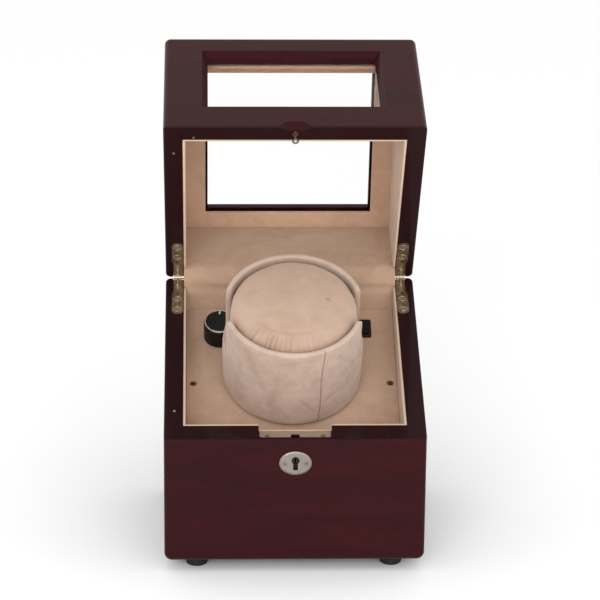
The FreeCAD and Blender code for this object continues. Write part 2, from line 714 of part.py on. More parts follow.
def bracket_posts():
    return [(x, y) for x in (-BRACKET_X + 4, BRACKET_X - 4) for y in (BRACKET_Y[0] + 4, BRACKET_Y[1] - 4)]


def drive_screws():
    """Pan-head screws: four up into the posts and two down into the gearbox."""
    under = BRACKET_TOP - BRACKET_THICKNESS
    up = fused([disc(2.4, under - 1.6, under), disc(1.2, under, -14)])
    down = fused([disc(2.2, BRACKET_TOP, BRACKET_TOP + 0.9), disc(1.2, under - 4, BRACKET_TOP)])
    screws = [moved(up, x, y) for x, y in bracket_posts()]
    screws += [moved(down, x, PINION_Y) for x in (-GEARBOX_SCREW, GEARBOX_SCREW)]
    return group(screws)


def gearmotor():
    """Round gearbox with its motor can, terminals at the end."""
    top = BRACKET_TOP - BRACKET_THICKNESS
    gearbox = disc(12, top - 14, top)
    boss = disc(3.4, top, BRACKET_TOP + 0.4)
    can = disc(10, top - 34, top - 14)
    nose = disc(3, top - 35.5, top - 34)
    tabs = [box((x - 1, x + 1), (-0.3, 0.3), (top - 38, top - 34)) for x in (-6, 6)]
    body = fused([gearbox, boss, can, nose, *tabs]).cut(disc(1.5 + RUNNING_CLEARANCE, -27, 0))
    holes = [disc(1.2, top - 4, top + 1, x) for x in (-GEARBOX_SCREW, GEARBOX_SCREW)]
    return moved(body.cut(group(holes)), y=PINION_Y)


# ---- electrics on the bottom board ---------------------------------------------------------------
def board_post_places():
    return [(x, y) for x in (BOARD_X[0] + 3, BOARD_X[1] - 3) for y in (BOARD_Y[0] + 3, BOARD_Y[1] - 3)]


def board_posts():
    """Plastic posts with pegs in the bottom board and in the circuit board."""
    post = fused([disc(3, BOTTOM_WALL, BOARD_Z), disc(1.5, BOTTOM_WALL - 3, BOARD_Z + 2.4)])
    return group([moved(post, x, y) for x, y in board_post_places()])


def circuit_board():
    board = box(BOARD_X, BOARD_Y, (BOARD_Z, BOARD_Z + 1.6))
    top = BOARD_Z + 1.6
    chips = [box((-8, 4), (110, 117), (top, top + 2)), box((10, 17), (108, 114), (top, top + 4)),
             box((-20, -14), (108, 120), (top, top + 3)), disc(3.2, top, top + 9, 18, 125),
             disc(2.5, top, top + 7, 8, 127), box((-12, -2), (124, 130), (top, top + 6))]
    holes = [disc(1.5, 0, 30, x, y) for x, y in board_post_places()]
    return fused([board, *chips]).cut(group(holes))


def dc_hole():
    return cylinder(5.6, (DC_X, LINED_REAR - 1, DC_Z), (0, 1, 0), 30)


def dc_socket():
    """Power socket in the rear wall, with its centre pin."""
    barrel = cylinder(5.5, (DC_X, LINED_REAR - 3, DC_Z), (0, 1, 0), DEPTH - LINED_REAR + 2.5)
    flange = cylinder(6.8, (DC_X, LINED_REAR - 1.5, DC_Z), (0, 1, 0), 1.4)
    bore = cylinder(3.1, (DC_X, DEPTH - 9.5, DC_Z), (0, 1, 0), 20)
    pin = cylinder(1.05, (DC_X, DEPTH - 10, DC_Z), (0, 1, 0), 8.5)
    tabs = [box((DC_X + x - 0.8, DC_X + x + 0.8), (LINED_REAR - 7, LINED_REAR - 3), (DC_Z - 0.3, DC_Z + 0.3))
            for x in (-2.5, 2.5)]
    return fused([fused([barrel, flange]).cut(bore), pin, *tabs])


# ---- underside -----------------------------------------------------------------------------------
def foot_places():
    return [(x, y) for x in (-FOOT_X, FOOT_X) for y in (FOOT_INSET, DEPTH - FOOT_INSET)]


def cover_screw_places():
    return [(x, y) for x in (-COVER_X + 4, COVER_X - 4) for y in (COVER_Y[0] + 4, COVER_Y[1] - 4)]


def underside_screw_places():
    """Where each screw's head lies: sunk in the feet, or flush with the cover."""
    feet = [(x, y, -FOOT_HEIGHT + 4) for x, y in foot_places()]
    return feet + [(x, y, 0) for x, y in cover_screw_places()]


def screw_from_below(x, y, z, maker):
    screw = maker(2.6, 1.3, 1.4, 7.5)
    screw.rotate(Vector(), X_AXIS, 180)
    return moved(screw, x, y, z)


def underside_screws():
    return group([screw_from_below(x, y, z, countersunk_screw) for x, y, z in underside_screw_places()])


def feet():
    radius, soft, low = FOOT_RADIUS, 1.8, -FOOT_HEIGHT
    profile = [(0, 0), (radius - 0.3, 0), (radius, low + soft),
               (radius - soft, low, radius - soft * ROUND, low + soft * ROUND), (0, low)]
    blank = turned(profile)
    well = disc(3.2, low - 1, low + 4)
    result = []
    for x, y in foot_places():
        foot = moved(blank.cut(well), x, y)
        result.append(foot.cut(screw_from_below(x, y, low + 4, screw_hole)))
    return group(result)


def access_cover():
    plate = prism(rectangle(-COVER_X + 0.2, COVER_X - 0.2, COVER_Y[0] + 0.2, COVER_Y[1] - 0.2, 6), "xy",
                  0, COVER_THICKNESS)
    return plate.cut(group([screw_from_below(x, y, 0, screw_hole) for x, y in cover_screw_places()]))


# ---- lock ----------------------------------------------------------------------------------------
def lock_recess():
    """The shallow recess in the front rim, open to the inside through the lining."""
    flat = rectangle(-LOCK_HALF, LOCK_HALF, LOCK_SKIN, 40, 2)
    return on_rim(prism(flat, "xy", -LOCK_RECESS, 10))


def below_plate(depth):
    """Everything lower than the lock plate's underside by a depth, square to the rim."""
    return beyond_rim(-1, LOCK_RECESS + LOCK_PLATE + depth)


def in_front_board(shape):
    return shape.common(box((-HALF, HALF), (0, FRONT_WALL), (0, HEIGHT)))


def lock_space():
    """Where the case sits: cut into the board from behind, up to the lock plate."""
    block = box((-CASE_HALF, CASE_HALF), (LOCK_SKIN, FRONT_WALL), (CASE_LOW, RIM_FRONT + 20))
    return block.common(below_plate(0))


def plate_block(slack, height):
    """A slab with the lock plate's outline, from the plate's underside up by a height."""
    half = LOCK_HALF - 0.5 - slack
    flat = rectangle(-half, half, LOCK_SKIN + 0.5 + slack, 40, 1.5 - slack)
    return in_front_board(on_rim(prism(flat, "xy", -LOCK_RECESS - LOCK_PLATE, height)))


def lock_mortise():
    return fused([lock_space(), plate_block(0, LOCK_PLATE + 1)])


def eye_slot(radius):
    wide, tall = EYE_SLOT
    return prism(rectangle(-wide, wide, EYE_SLOPE_Y - tall, EYE_SLOPE_Y + tall, radius), "xy", -9, 20)


def lock_plate():
    """The plate at the bottom of the recess, slotted for the catch eye."""
    hole = screw_hole(1.8, 0.9, 0.6, 4)
    holes = [moved(hole, x, EYE_SLOPE_Y, -LOCK_RECESS) for x in (-LOCK_SCREW_X, LOCK_SCREW_X)]
    return plate_block(0.1, LOCK_PLATE).cut(on_rim(group([eye_slot(0.8), *holes])))


def lock_case():
    """A thin metal case behind the escutcheon, open at the top for the eye."""
    wall = CASE_WALL
    inner = box((-CASE_HALF + wall, CASE_HALF - wall), (LOCK_SKIN + wall, FRONT_WALL - wall),
                (CASE_LOW + wall, RIM_FRONT + 20)).common(below_plate(wall))
    plug_hole = cylinder(PLUG_RADIUS + RUNNING_CLEARANCE, (0, 0, KEYHOLE_Z), (0, 1, 0), FRONT_WALL)
    screws = [disc(0.9, -LOCK_RECESS - 5, 0, x, EYE_SLOPE_Y) for x in (-LOCK_SCREW_X, LOCK_SCREW_X)]
    return lock_space().cut(inner).cut(group([on_rim(eye_slot(0)), plug_hole, on_rim(group(screws))]))


def lock_plate_screws():
    screw = countersunk_screw(1.8, 0.9, 0.6, 4)
    spots = (-LOCK_SCREW_X, LOCK_SCREW_X)
    return [on_rim(moved(screw, x, EYE_SLOPE_Y, -LOCK_RECESS)) for x in spots]


def keyhole():
    """Round hole with a slot below it, through the skin in front of the lock."""
    deep = LOCK_SKIN + CASE_WALL / 2
    hole = cylinder(2.5, (0, -5, KEYHOLE_Z), (0, 1, 0), 5 + deep)
    return fused([hole, box((-1.5, 1.5), (-5, deep), (KEYHOLE_Z - KEYHOLE_DROP, KEYHOLE_Z))])


def escutcheon():
    """Domed oval plate round the keyhole."""
    wide, tall = ESCUTCHEON_HALF
    rings = []
    for depth, inset in ((0, 0), (-0.7, 0), (-1.3, 1.0)):
        ellipse = Part.Ellipse(Vector(0, 0, 0), wide - inset, tall - inset).toShape()
        wire = Part.Wire([ellipse])
        wire.rotate(Vector(), X_AXIS, 90)
        wire.translate(Vector(0, depth, ESCUTCHEON_Z))
        rings.append(wire)
    plate = fused([Part.makeLoft(rings[:2], True), Part.makeLoft(rings[1:], True)])
    holes = [facing_front(screw_hole(1.9, 0.8, 0.6, 3.2), x) for x in (-ESCUTCHEON_SCREW, ESCUTCHEON_SCREW)]
    return plate.cut(group([keyhole(), *holes]))


def facing_front(shape, x):
    """Turns a screw so that its head faces the front, flush with the escutcheon."""
    screw = shape.copy()
    screw.rotate(Vector(), X_AXIS, 90)
    return moved(screw, x, -1.25, ESCUTCHEON_Z)


def lock_screws():
    """Two small screws in the escutcheon and two in the lock plate."""
    screw = countersunk_screw(1.9, 0.8, 0.6, 3.2)
    front = [facing_front(screw, x) for x in (-ESCUTCHEON_SCREW, ESCUTCHEON_SCREW)]
    return group(front + lock_plate_screws())


def escutcheon_screw_holes():
    spots = (-ESCUTCHEON_SCREW, ESCUTCHEON_SCREW)
    return [cylinder(0.8, (x, -1, ESCUTCHEON_Z), (0, 1, 0), 3.8) for x in spots]


def lock_plug():
    """The part that the key turns: a barrel through the case with a key slot."""
    barrel = cylinder(PLUG_RADIUS, (0, LOCK_SKIN + 0.1, KEYHOLE_Z), (0, 1, 0), 8)
    slot = box((-0.6, 0.6), (0, LOCK_SKIN + 6), (KEYHOLE_Z - 3.5, KEYHOLE_Z + 1.5))
    return barrel.cut(slot)


def lock_bolt():
    """A plate round the plug with an arm and a pin that slides up the rim's slope, through the eye."""
    plate = box((-5, 5), (6.0, 7.4), (KEYHOLE_Z - 5, KEYHOLE_Z + 7.6))
    plate = plate.cut(cylinder(PLUG_RADIUS + 0.8, (0, 0, KEYHOLE_Z), (0, 1, 0), 12))
    arm = on_rim(box((-1, 1), (3.4, 4.2), (-9.5, -EYE_DROP - 0.15)))
    pin = on_rim(cylinder(BOLT_PIN, (0, 3.6, -EYE_DROP - 0.2), (0, 1, 0), 2.3))
    return fused([plate, arm, pin])


def catch_eye():
    """A screw eye in the lid's front rim: shank, collar, stem and ring."""
    ring = Part.makeTorus(1.6, 0.55, Vector(0, EYE_SLOPE_Y, -EYE_DROP), Vector(0, 1, 0))
    stem = disc(0.75, -EYE_DROP + 1.5, 1, 0, EYE_SLOPE_Y)
    collar = disc(2.0, RIM_GAP / 2 - 0.9, RIM_GAP / 2, 0, EYE_SLOPE_Y)
    shank = disc(1.0, RIM_GAP / 2, 10, 0, EYE_SLOPE_Y)
    return on_rim(fused([ring, stem, collar, shank]))


def eye_hole():
    return on_rim(disc(1.0, -5, 10, 0, EYE_SLOPE_Y))


# ---- rim pins ------------------------------------------------------------------------------------
def rim_pin(x, y, side):
    """A small brad flush with a rim; side is -1 in the base and 1 in the lid."""
    face = side * RIM_GAP / 2
    low, high = sorted((face, face + side * 5))
    return on_rim(disc(0.8, low, high, x, y))


# ---- hinges --------------------------------------------------------------------------------------
def leaf_plan():
    """Leaf outline in the rim frame: a narrow neck from the barrel, then a round-ended palm."""
    end = RIM_LENGTH - HINGE_LEAF
    waist = RIM_LENGTH - NECK_LENGTH
    root = RIM_LENGTH - 0.5
    inner = HINGE_X - PALM_HALF
    outer = HINGE_X + PALM_HALF
    return [(inner, end, PALM_HALF * 0.95), (outer, end, PALM_HALF * 0.95), (outer, waist, 1.5),
            (BARREL_END, waist + 2.5, 1.5), (BARREL_END, root, 0), (inner, root, 0)]


def hinge_pockets(side):
    """Seats of both leaves in one rim with room for barrels and screws; side is -1 in the base."""
    low, high = sorted((side * RIM_GAP / 2 + side * LEAF_THICKNESS, -side * 5))
    seat = on_rim(prism(leaf_plan(), "xy", low, high - low))
    room = along_hinge(HINGE_BARREL + 0.4, BARREL_START - 2.7, BARREL_END + 0.3)
    return both_sides(fused([seat, room, hinge_screw_line(screw_hole, side)]))


def along_hinge(radius, start, stop):
    """A round about the hinge line between two places across the box."""
    return cylinder(radius, (start, DEPTH, RIM_REAR), (1, 0, 0), stop - start)


def hinge_leaf(side):
    """One leaf with its knuckles: two outer knuckles on the base leaf, one between on the lid's."""
    third = (BARREL_END - BARREL_START) / 3
    gap = 0.1
    outer_spans = [(BARREL_START, BARREL_START + third - gap), (BARREL_END - third + gap, BARREL_END)]
    inner_spans = [(BARREL_START + third + gap, BARREL_END - third - gap)]
    spans, others = (outer_spans, inner_spans) if side < 0 else (inner_spans, outer_spans)
    low, high = sorted((side * RIM_GAP / 2, side * (RIM_GAP / 2 + LEAF_THICKNESS)))
    plate = on_rim(prism(leaf_plan(), "xy", low, high - low))
    away = [along_hinge(HINGE_BARREL + 0.3, start - 0.2, stop + 0.2) for start, stop in others]
    away.append(along_hinge(HINGE_BARREL + 0.3, BARREL_START - 3, BARREL_START))
    knuckles = [along_hinge(HINGE_BARREL, start, stop) for start, stop in spans]
    leaf = fused([plate.cut(group(away)), *knuckles])
    bore = PIN_RADIUS + (RUNNING_CLEARANCE if side > 0 else 0)
    leaf = leaf.cut(along_hinge(bore, BARREL_START - 5, BARREL_END + 5))
    return leaf.cut(hinge_screw_line(screw_hole, side))


def hinge_screw_line(maker, side):
    """Three screws along a leaf; heads face out of the rim."""
    found = []
    for index, offset in enumerate(HINGE_SCREWS):
        screw = maker(1.5, 0.8, 0.6, 7)
        if side > 0:
            screw.rotate(Vector(), X_AXIS, 180)
        x = (BARREL_START + BARREL_END) / 2 if index == 0 else HINGE_X
        found.append(on_rim(moved(screw, x, RIM_LENGTH + offset, side * RIM_GAP / 2)))
    return group(found)


def both_sides(shape):
    return group([shape, mirrored(shape)])


def hinge_pins():
    """A pin through each barrel with a turned head at its inner end."""
    radius, bevel, start = PIN_HEAD, 0.5, BARREL_START
    profile = [(0, 0), (radius - bevel, 0), (radius, bevel), (radius, PIN_HEAD_LENGTH - 0.2),
               (radius - 0.2, PIN_HEAD_LENGTH), (PIN_RADIUS, PIN_HEAD_LENGTH),
               (PIN_RADIUS, PIN_HEAD_LENGTH + KNUCKLE_LENGTH), (0, PIN_HEAD_LENGTH + KNUCKLE_LENGTH)]
    pin = turned(profile)
    pin.rotate(Vector(), Vector(0, 1, 0), 90)
    return both_sides(moved(pin, start - PIN_HEAD_LENGTH, DEPTH, RIM_REAR))


# ---- assembly ------------------------------------------------------------------------------------
def opened(shape):
    """Swings a piece of the lid from closed to its open stop."""
    turned_shape = shape.copy()
    turned_shape.rotate(HINGE_LINE, X_AXIS, -LID_OPEN)
    return turned_shape


def base_nodes():
    on_the_deck = {"selector_switch": selector_switch(), "rocker_housing": rocker_housing(),
                   "spindle_bush": spindle_bush(), "drive_bracket": drive_bracket(),
                   "drive_screws": drive_screws(), "gearmotor": gearmotor()}
    hinge = {"base_hinge_leaves": both_sides(hinge_leaf(-1)), "hinge_pins": hinge_pins(),
             "base_hinge_screws": both_sides(hinge_screw_line(countersunk_screw, -1)),
             "hinge_flap": hinge_flap(), "base_rim_pin": rim_pin(*SIDE_PIN, -1)}
    lock = {"escutcheon": escutcheon(), "lock_screws": lock_screws(), "lock_case": lock_case(),
            "lock_plate": lock_plate()}
    return {**base_boards(), **base_linings(), "deck": deck(), "deck_rails": deck_rails(),
            "deck_screws": deck_screws(), "feet": feet(), "access_cover": access_cover(),
            "underside_screws": underside_screws(), "circuit_board": circuit_board(),
            "board_posts": board_posts(), "dc_socket": dc_socket(), **lock, **hinge,
            **{name: on_deck(shape) for name, shape in on_the_deck.items()}}


def moving_nodes():
    on_the_deck = {"drum_cup": drum_cup(), "drum_floor": drum_floor(), "drum_spindle": drum_spindle(),
                   "drum_gear": drum_gear(), "spindle_clip": spindle_clip(),
                   "watch_cushion": watch_cushion(),
                   "motor_pinion": motor_pinion(), "selector_knob": selector_knob(),
                   "knob_ring": knob_ring(), "rocker_cap": rocker_cap()}
    return {**{name: on_deck(shape) for name, shape in on_the_deck.items()},
            "lock_plug": lock_plug(), "lock_bolt": lock_bolt()}


def lid_nodes():
    nodes = {**lid_boards(), **lid_linings(), **glazing()}
    nodes["catch_eye"] = catch_eye()
    nodes["lid_hinge_leaves"] = both_sides(hinge_leaf(1))
    nodes["lid_hinge_screws"] = both_sides(hinge_screw_line(countersunk_screw, 1))
    nodes["lid_rim_pins"] = group([rim_pin(*SIDE_PIN, 1), rim_pin(*FRONT_PIN, 1)])
    return {name: opened(shape) for name, shape in nodes.items()}


def frame_shift(nodes):
    """From the box frame to the part's frame: the middle of the open box, on the surface it stands on."""
    bounds = Part.makeCompound(list(nodes.values())).optimalBoundingBox(False, False)
    return Vector(0, -(bounds.YMin + bounds.YMax) / 2, FOOT_HEIGHT)


def main():
    nodes = {**base_nodes(), **moving_nodes(), **lid_nodes()}
    shift = frame_shift(nodes)
    os.makedirs("parts", exist_ok=True)
    for name, shape in nodes.items():
        shape.translate(shift)
        shape.exportStep("parts/" + name + ".step")
        print(name, len(shape.Solids), round(shape.Volume, 1), "valid" if shape.isValid() else "INVALID")
    print("nodes", len(nodes), "shift", shift)


main()
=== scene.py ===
"""The looks of a watch winder box: lacquered wood, suede lining, cup and cushion, metal, plastic.

Every length is in metres, in the part's own frame.  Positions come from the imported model.
"""
import json
import math

import bmesh
import bpy
from mathutils import Matrix, Vector, noise


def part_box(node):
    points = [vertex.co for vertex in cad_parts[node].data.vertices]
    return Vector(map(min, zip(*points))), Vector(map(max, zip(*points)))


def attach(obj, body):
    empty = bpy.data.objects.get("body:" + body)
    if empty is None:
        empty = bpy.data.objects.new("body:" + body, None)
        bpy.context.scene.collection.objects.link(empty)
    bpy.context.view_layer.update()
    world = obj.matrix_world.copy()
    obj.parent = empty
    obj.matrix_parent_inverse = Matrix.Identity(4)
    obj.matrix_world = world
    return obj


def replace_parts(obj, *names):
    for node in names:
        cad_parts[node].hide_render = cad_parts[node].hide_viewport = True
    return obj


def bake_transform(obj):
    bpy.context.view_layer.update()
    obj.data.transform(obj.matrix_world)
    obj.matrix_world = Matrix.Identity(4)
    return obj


MM = 0.001
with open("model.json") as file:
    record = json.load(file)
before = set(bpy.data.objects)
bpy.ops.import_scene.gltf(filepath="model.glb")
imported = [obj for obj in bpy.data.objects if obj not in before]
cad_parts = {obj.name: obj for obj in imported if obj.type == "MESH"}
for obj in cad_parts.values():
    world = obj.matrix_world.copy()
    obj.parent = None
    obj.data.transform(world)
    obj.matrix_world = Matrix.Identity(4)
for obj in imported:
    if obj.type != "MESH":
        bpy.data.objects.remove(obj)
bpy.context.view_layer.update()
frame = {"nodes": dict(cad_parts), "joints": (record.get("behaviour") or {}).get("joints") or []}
nodes = frame["nodes"]
joints = {joint["name"]: joint for joint in frame["joints"]}

# ---- places taken from the joints ----------------------------------------------------------------
HINGE = Vector(joints["lid_hinge"]["pos_m"])
LID_OPEN = math.radians(joints["lid_hinge"]["range_deg"][1])
DRUM_AXIS = Vector(joints["drum_spin"]["axis"])
DECK_TILT = math.atan2(-DRUM_AXIS.y, DRUM_AXIS.z)
# the deck's frame: the origin on the cup's axis, +Z out of the deck along it
DECK = Matrix.Translation(joints["drum_spin"]["pos_m"]) @ Matrix.Rotation(DECK_TILT, 4, "X")
RIM_AXIS = Vector(joints["bolt_slide"]["axis"])
RIM_TILT = math.atan2(RIM_AXIS.z, RIM_AXIS.y)
# takes a shut lid to where it stands open, as it does at rest
OPENED = Matrix.Translation(HINGE) @ Matrix.Rotation(-LID_OPEN, 4, "X") @ Matrix.Translation(-HINGE)
# the rim's frame: the origin on the hinge line, +Y towards the back, +Z out of the base
RIM = Matrix.Translation(HINGE) @ Matrix.Rotation(RIM_TILT, 4, "X")

CUP_RADIUS = 45.3 * MM
CUP_TOP = 67.6 * MM                 # in the deck's frame


# ---- node helpers --------------------------------------------------------------------------------
class Nodes:
    """A material's node tree, with the few calls that the recipes below need."""

    def __init__(self, name):
        self.material = bpy.data.materials.new(name)
        self.material.use_nodes = True
        self.tree = self.material.node_tree
        self.shader = self.tree.nodes["Principled BSDF"]

    def add(self, kind, inputs=None, **settings):
        node = self.tree.nodes.new(kind)
        for key, value in settings.items():
            setattr(node, key, value)
        for key, value in (inputs or {}).items():
            self.put(node.inputs[key], value)
        return node

    def put(self, socket, value):
        if isinstance(value, bpy.types.NodeSocket):
            self.tree.links.new(value, socket)
        else:
            socket.default_value = value

    def where(self):
        return self.add("ShaderNodeTexCoord").outputs["Object"]

    def space(self, scale, turn=(0, 0, 0), shift=(0, 0, 0)):
        """Object coordinates, turned and then scaled; one scale serves all three axes."""
        scales = scale if isinstance(scale, tuple) else (scale,) * 3
        turned = self.add("ShaderNodeMapping",
                          {"Vector": self.where(), "Rotation": turn, "Location": shift})
        scaled = self.add("ShaderNodeMapping", {"Vector": turned.outputs[0], "Scale": scales})
        return scaled.outputs[0]

    def noise(self, vector, detail=3.0, rough=0.5, twist=0.0):
        node = self.add("ShaderNodeTexNoise", {"Vector": vector, "Scale": 1.0, "Detail": detail,
                                               "Roughness": rough, "Distortion": twist})
        return node.outputs["Fac"]

    def ramp(self, value, stops):
        node = self.add("ShaderNodeValToRGB", {"Fac": value})
        while len(node.color_ramp.elements) < len(stops):
            node.color_ramp.elements.new(0.5)
        for element, (position, colour) in zip(node.color_ramp.elements, stops):
            element.position = position
            element.color = (*colour, 1)
        return node.outputs["Color"]

    def spread(self, value, low, high, out_low=0.0, out_high=1.0):
        """Stretches the range from low to high over another one, and clamps what is outside."""
        node = self.add("ShaderNodeMapRange", {"Value": value, "From Min": low, "From Max": high,
                                               "To Min": out_low, "To Max": out_high})
        return node.outputs["Result"]

    def mix(self, factor, first, second):
        """A mix of two colours, each a socket or three numbers."""
        node = self.add("ShaderNodeMix", data_type="RGBA")
        self.put(node.inputs[0], factor)
        for socket, value in ((node.inputs[6], first), (node.inputs[7], second)):
            self.put(socket, value if isinstance(value, bpy.types.NodeSocket) else (*value, 1))
        return node.outputs[2]

    def attribute(self, name):
        return self.add("ShaderNodeAttribute", attribute_name=name).outputs["Fac"]

    def bump(self, height, strength, distance, before=None):
        inputs = {"Height": height, "Strength": strength, "Distance": distance}
        if before:
            inputs["Normal"] = before
        return self.add("ShaderNodeBump", inputs).outputs["Normal"]

    def finish(self, **inputs):
        """Fills the shader's own sockets; a name's underscores stand for spaces."""
        for key, value in inputs.items():
            socket = self.shader.inputs[key.replace("_", " ")]
            if isinstance(value, tuple) and len(value) == 3 and socket.type == "RGBA":
                value = (*value, 1)
            self.put(socket, value)
        return self.material


# ---- colours -------------------------------------------------------------------------------------
WOOD_DARK = (0.0205, 0.0054, 0.0063)
WOOD_MID = (0.0295, 0.0055, 0.0068)
WOOD_RED = (0.0390, 0.0056, 0.0075)
WOOD_STREAK = (0.017, 0.0050, 0.0056)
WOOD_PORE = (0.010, 0.0045, 0.0050)
# the colour of the painted shade along the box's rims
WOOD_RIM_SHADE = (0.008, 0.0040, 0.0048)
RIM_SHADE_AMOUNT = 0.62                    # how much painted shade the rims get, towards the dark rim colour
RIM_SHADE_BAND = (0.2 * MM, 1.1 * MM)     # in from the rim, where that painted shade fades out

SUEDE_LINING = (0.470, 0.318, 0.226)
# painted light: the lid's lining is the base's suede made lighter, to even out the light on the two
SUEDE_LID_LIGHTENED = (0.535, 0.355, 0.248)
SUEDE_CUP = (0.470, 0.347, 0.281)
SUEDE_CUSHION = (0.458, 0.321, 0.246)
# factors on the suede's own colour, one for each channel
NAP_DARK = (0.84, 0.80, 0.76)
NAP_LIGHT = 1.10
SHADE_AND_TONE_DARK = (0.52, 0.43, 0.37)      # where the attribute of painted light and tone is 1: painted shade and darker tone
LIGHT_AND_TONE_PALE = (1.12, 1.28, 1.32)      # where it is -1: painted highlight and paler tone


def shade(colour, factor):
    """A colour made darker or lighter, by one factor or by one for each channel."""
    factors = factor if isinstance(factor, tuple) else (factor,) * 3
    return tuple(min(1, c * f) for c, f in zip(colour, factors))


# ---- materials; a noise scale is about the number of patches in a metre --------------------------
def mahogany(name, turn=(0, 0, 0), grain="x", seed=0.0, rim=None):
    """Red-brown veneer with long dark streaks and short pores, under a clear gloss lacquer.

    rim gives the frame of the part's rim and the side the wood lies on; the rim gets painted shade,
    a darker band.
    """
    n = Nodes(name)
    shift = (seed, seed * 0.7, seed * 0.3)

    def stretched(length, width):
        scales = tuple(length if axis == grain else width for axis in "xyz")
        return n.space(scales, turn, shift)

    broad = n.noise(stretched(7, 45), 3, 0.55, 0.6)
    streak = n.noise(stretched(11, 260), 5, 0.62, 0.5)
    fine = n.noise(stretched(60, 1400), 4, 0.6, 0.2)
    pores = n.noise(stretched(230, 4200), 2, 0.5)
    wave = n.noise(n.space(22, turn), 2, 0.4)
    colour = n.ramp(broad, [(0.30, WOOD_DARK), (0.52, WOOD_MID), (0.74, WOOD_RED)])
    colour = n.mix(n.spread(streak, 0.50, 0.74, 0, 0.50), colour, WOOD_STREAK)
    colour = n.mix(n.spread(fine, 0.42, 0.66, 0, 0.40), colour, WOOD_RED)
    colour = n.mix(n.spread(pores, 0.60, 0.70, 0, 0.65), colour, WOOD_PORE)
    # painted shade: a darker band along the rim
    if rim:
        place, side = rim
        out = place.to_3x3() @ Vector((0, 0, side))
        height = n.add("ShaderNodeVectorMath", {0: n.where(), 1: tuple(out)},
                       operation="DOT_PRODUCT").outputs["Value"]
        start, end = (out.dot(place.translation) + reach for reach in RIM_SHADE_BAND)
        colour = n.mix(n.spread(height, start, end, RIM_SHADE_AMOUNT, 0), colour, WOOD_RIM_SHADE)
    return n.finish(Base_Color=colour, Roughness=n.spread(fine, 0.3, 0.7, 0.26, 0.40),
                    Normal=n.bump(pores, 0.12, 0.0002), Specular_IOR_Level=0.03,
                    Coat_Weight=0.22, Coat_Roughness=0.05, Coat_IOR=1.25,
                    Coat_Normal=n.bump(wave, 0.05, 0.0012))


def suede(name, base, seed=0.0, turn=(0, 0, 0), mottle=1.0):
    """Brushed suede: patches where the nap lies differently, a fine fibre and a velvety edge.

    A mesh's attribute of painted light and tone makes it darker above zero and paler below: painted
    shade and painted highlights, with some random tone.
    """
    n = Nodes(name)
    shift = (seed, seed * 1.7, seed * 0.6)
    patch = n.noise(n.space(38, turn, shift), 3, 0.55, 0.8)
    cloud = n.noise(n.space(150, turn, shift), 4, 0.6, 0.3)
    fibre = n.noise(n.space((900, 900, 2600), turn, shift), 3, 0.7)
    hair = n.noise(n.space(2600, turn, shift), 2, 0.7)
    painted_light_and_tone = n.attribute("painted_light_and_tone")
    dark = shade(base, NAP_DARK)
    colour = n.mix(n.spread(patch, 0.36, 0.64, 0, 0.75 * mottle), base, dark)
    colour = n.mix(n.spread(cloud, 0.45, 0.75, 0, 0.55 * mottle), colour, shade(base, NAP_LIGHT))
    colour = n.mix(n.spread(fibre, 0.40, 0.70, 0, 0.22), colour, dark)
    colour = n.mix(n.spread(painted_light_and_tone, 0, 1), colour, shade(base, SHADE_AND_TONE_DARK))
    colour = n.mix(n.spread(painted_light_and_tone, 0, -1), colour, shade(base, LIGHT_AND_TONE_PALE))
    normal = n.bump(cloud, 0.16, 0.0005, n.bump(hair, 0.35, 0.00018))
    return n.finish(Base_Color=colour, Roughness=0.94, Specular_IOR_Level=0.12, Sheen_Weight=0.22,
                    Sheen_Roughness=0.55, Sheen_Tint=(1.0, 0.93, 0.86), Normal=normal)


def metal(name, base, rough, wear=0.25, brushed=(1, 1, 1), tarnish=None):
    """Satin or aged metal with fine scratches and a little tarnish."""
    n = Nodes(name)
    scratch = n.noise(n.space(tuple(900 * b for b in brushed)), 3, 0.6)
    patch = n.noise(n.space(420), 4, 0.6, 0.4)
    colour = n.mix(n.spread(patch, 0.45, 0.72, 0, wear), base, tarnish or shade(base, 0.6))
    roughness = n.spread(scratch, 0.3, 0.7, rough * 0.8, rough * 1.3)
    return n.finish(Base_Color=colour, Metallic=1.0, Roughness=roughness,
                    Normal=n.bump(scratch, 0.12, 0.00006))


def plastic(name, base, rough, grain=0.0, coat=0.0):
    """Moulded plastic or rubber with a faint cloudiness and a fine grain."""
    n = Nodes(name)
    speck = n.noise(n.space(2400), 2, 0.6)
    cloud = n.noise(n.space(90), 3, 0.5)
    colour = n.mix(n.spread(cloud, 0.35, 0.7, 0, 0.35), base, shade(base, 0.75))
    roughness = n.spread(cloud, 0.3, 0.7, rough * 0.85, rough * 1.2)
    return n.finish(Base_Color=colour, Roughness=roughness, Normal=n.bump(speck, grain, 0.0001),
                    Coat_Weight=coat, Coat_Roughness=0.08, Specular_IOR_Level=0.22)


def clear_glass(name):
    """Window glass, very slightly smeared."""
    n = Nodes(name)
    smear = n.noise(n.space(30), 3, 0.5)
    return n.finish(Base_Color=(0.995, 0.995, 0.995),
                    Roughness=n.spread(smear, 0.4, 0.8, 0.0, 0.015),
                    Transmission_Weight=1.0, IOR=1.12, Specular_IOR_Level=0.35)


def board(name, base):
    """Plain stained board or hardboard, unlacquered."""
    n = Nodes(name)
    fibre = n.noise(n.space((60, 700, 700)), 4, 0.6, 0.3)
    fleck = n.noise(n.space(1500), 2, 0.5)
    colour = n.mix(n.spread(fibre, 0.4, 0.7, 0, 0.6), base, shade(base, 0.55))
    return n.finish(Base_Color=colour, Roughness=0.7, Normal=n.bump(fleck, 0.3, 0.0002))


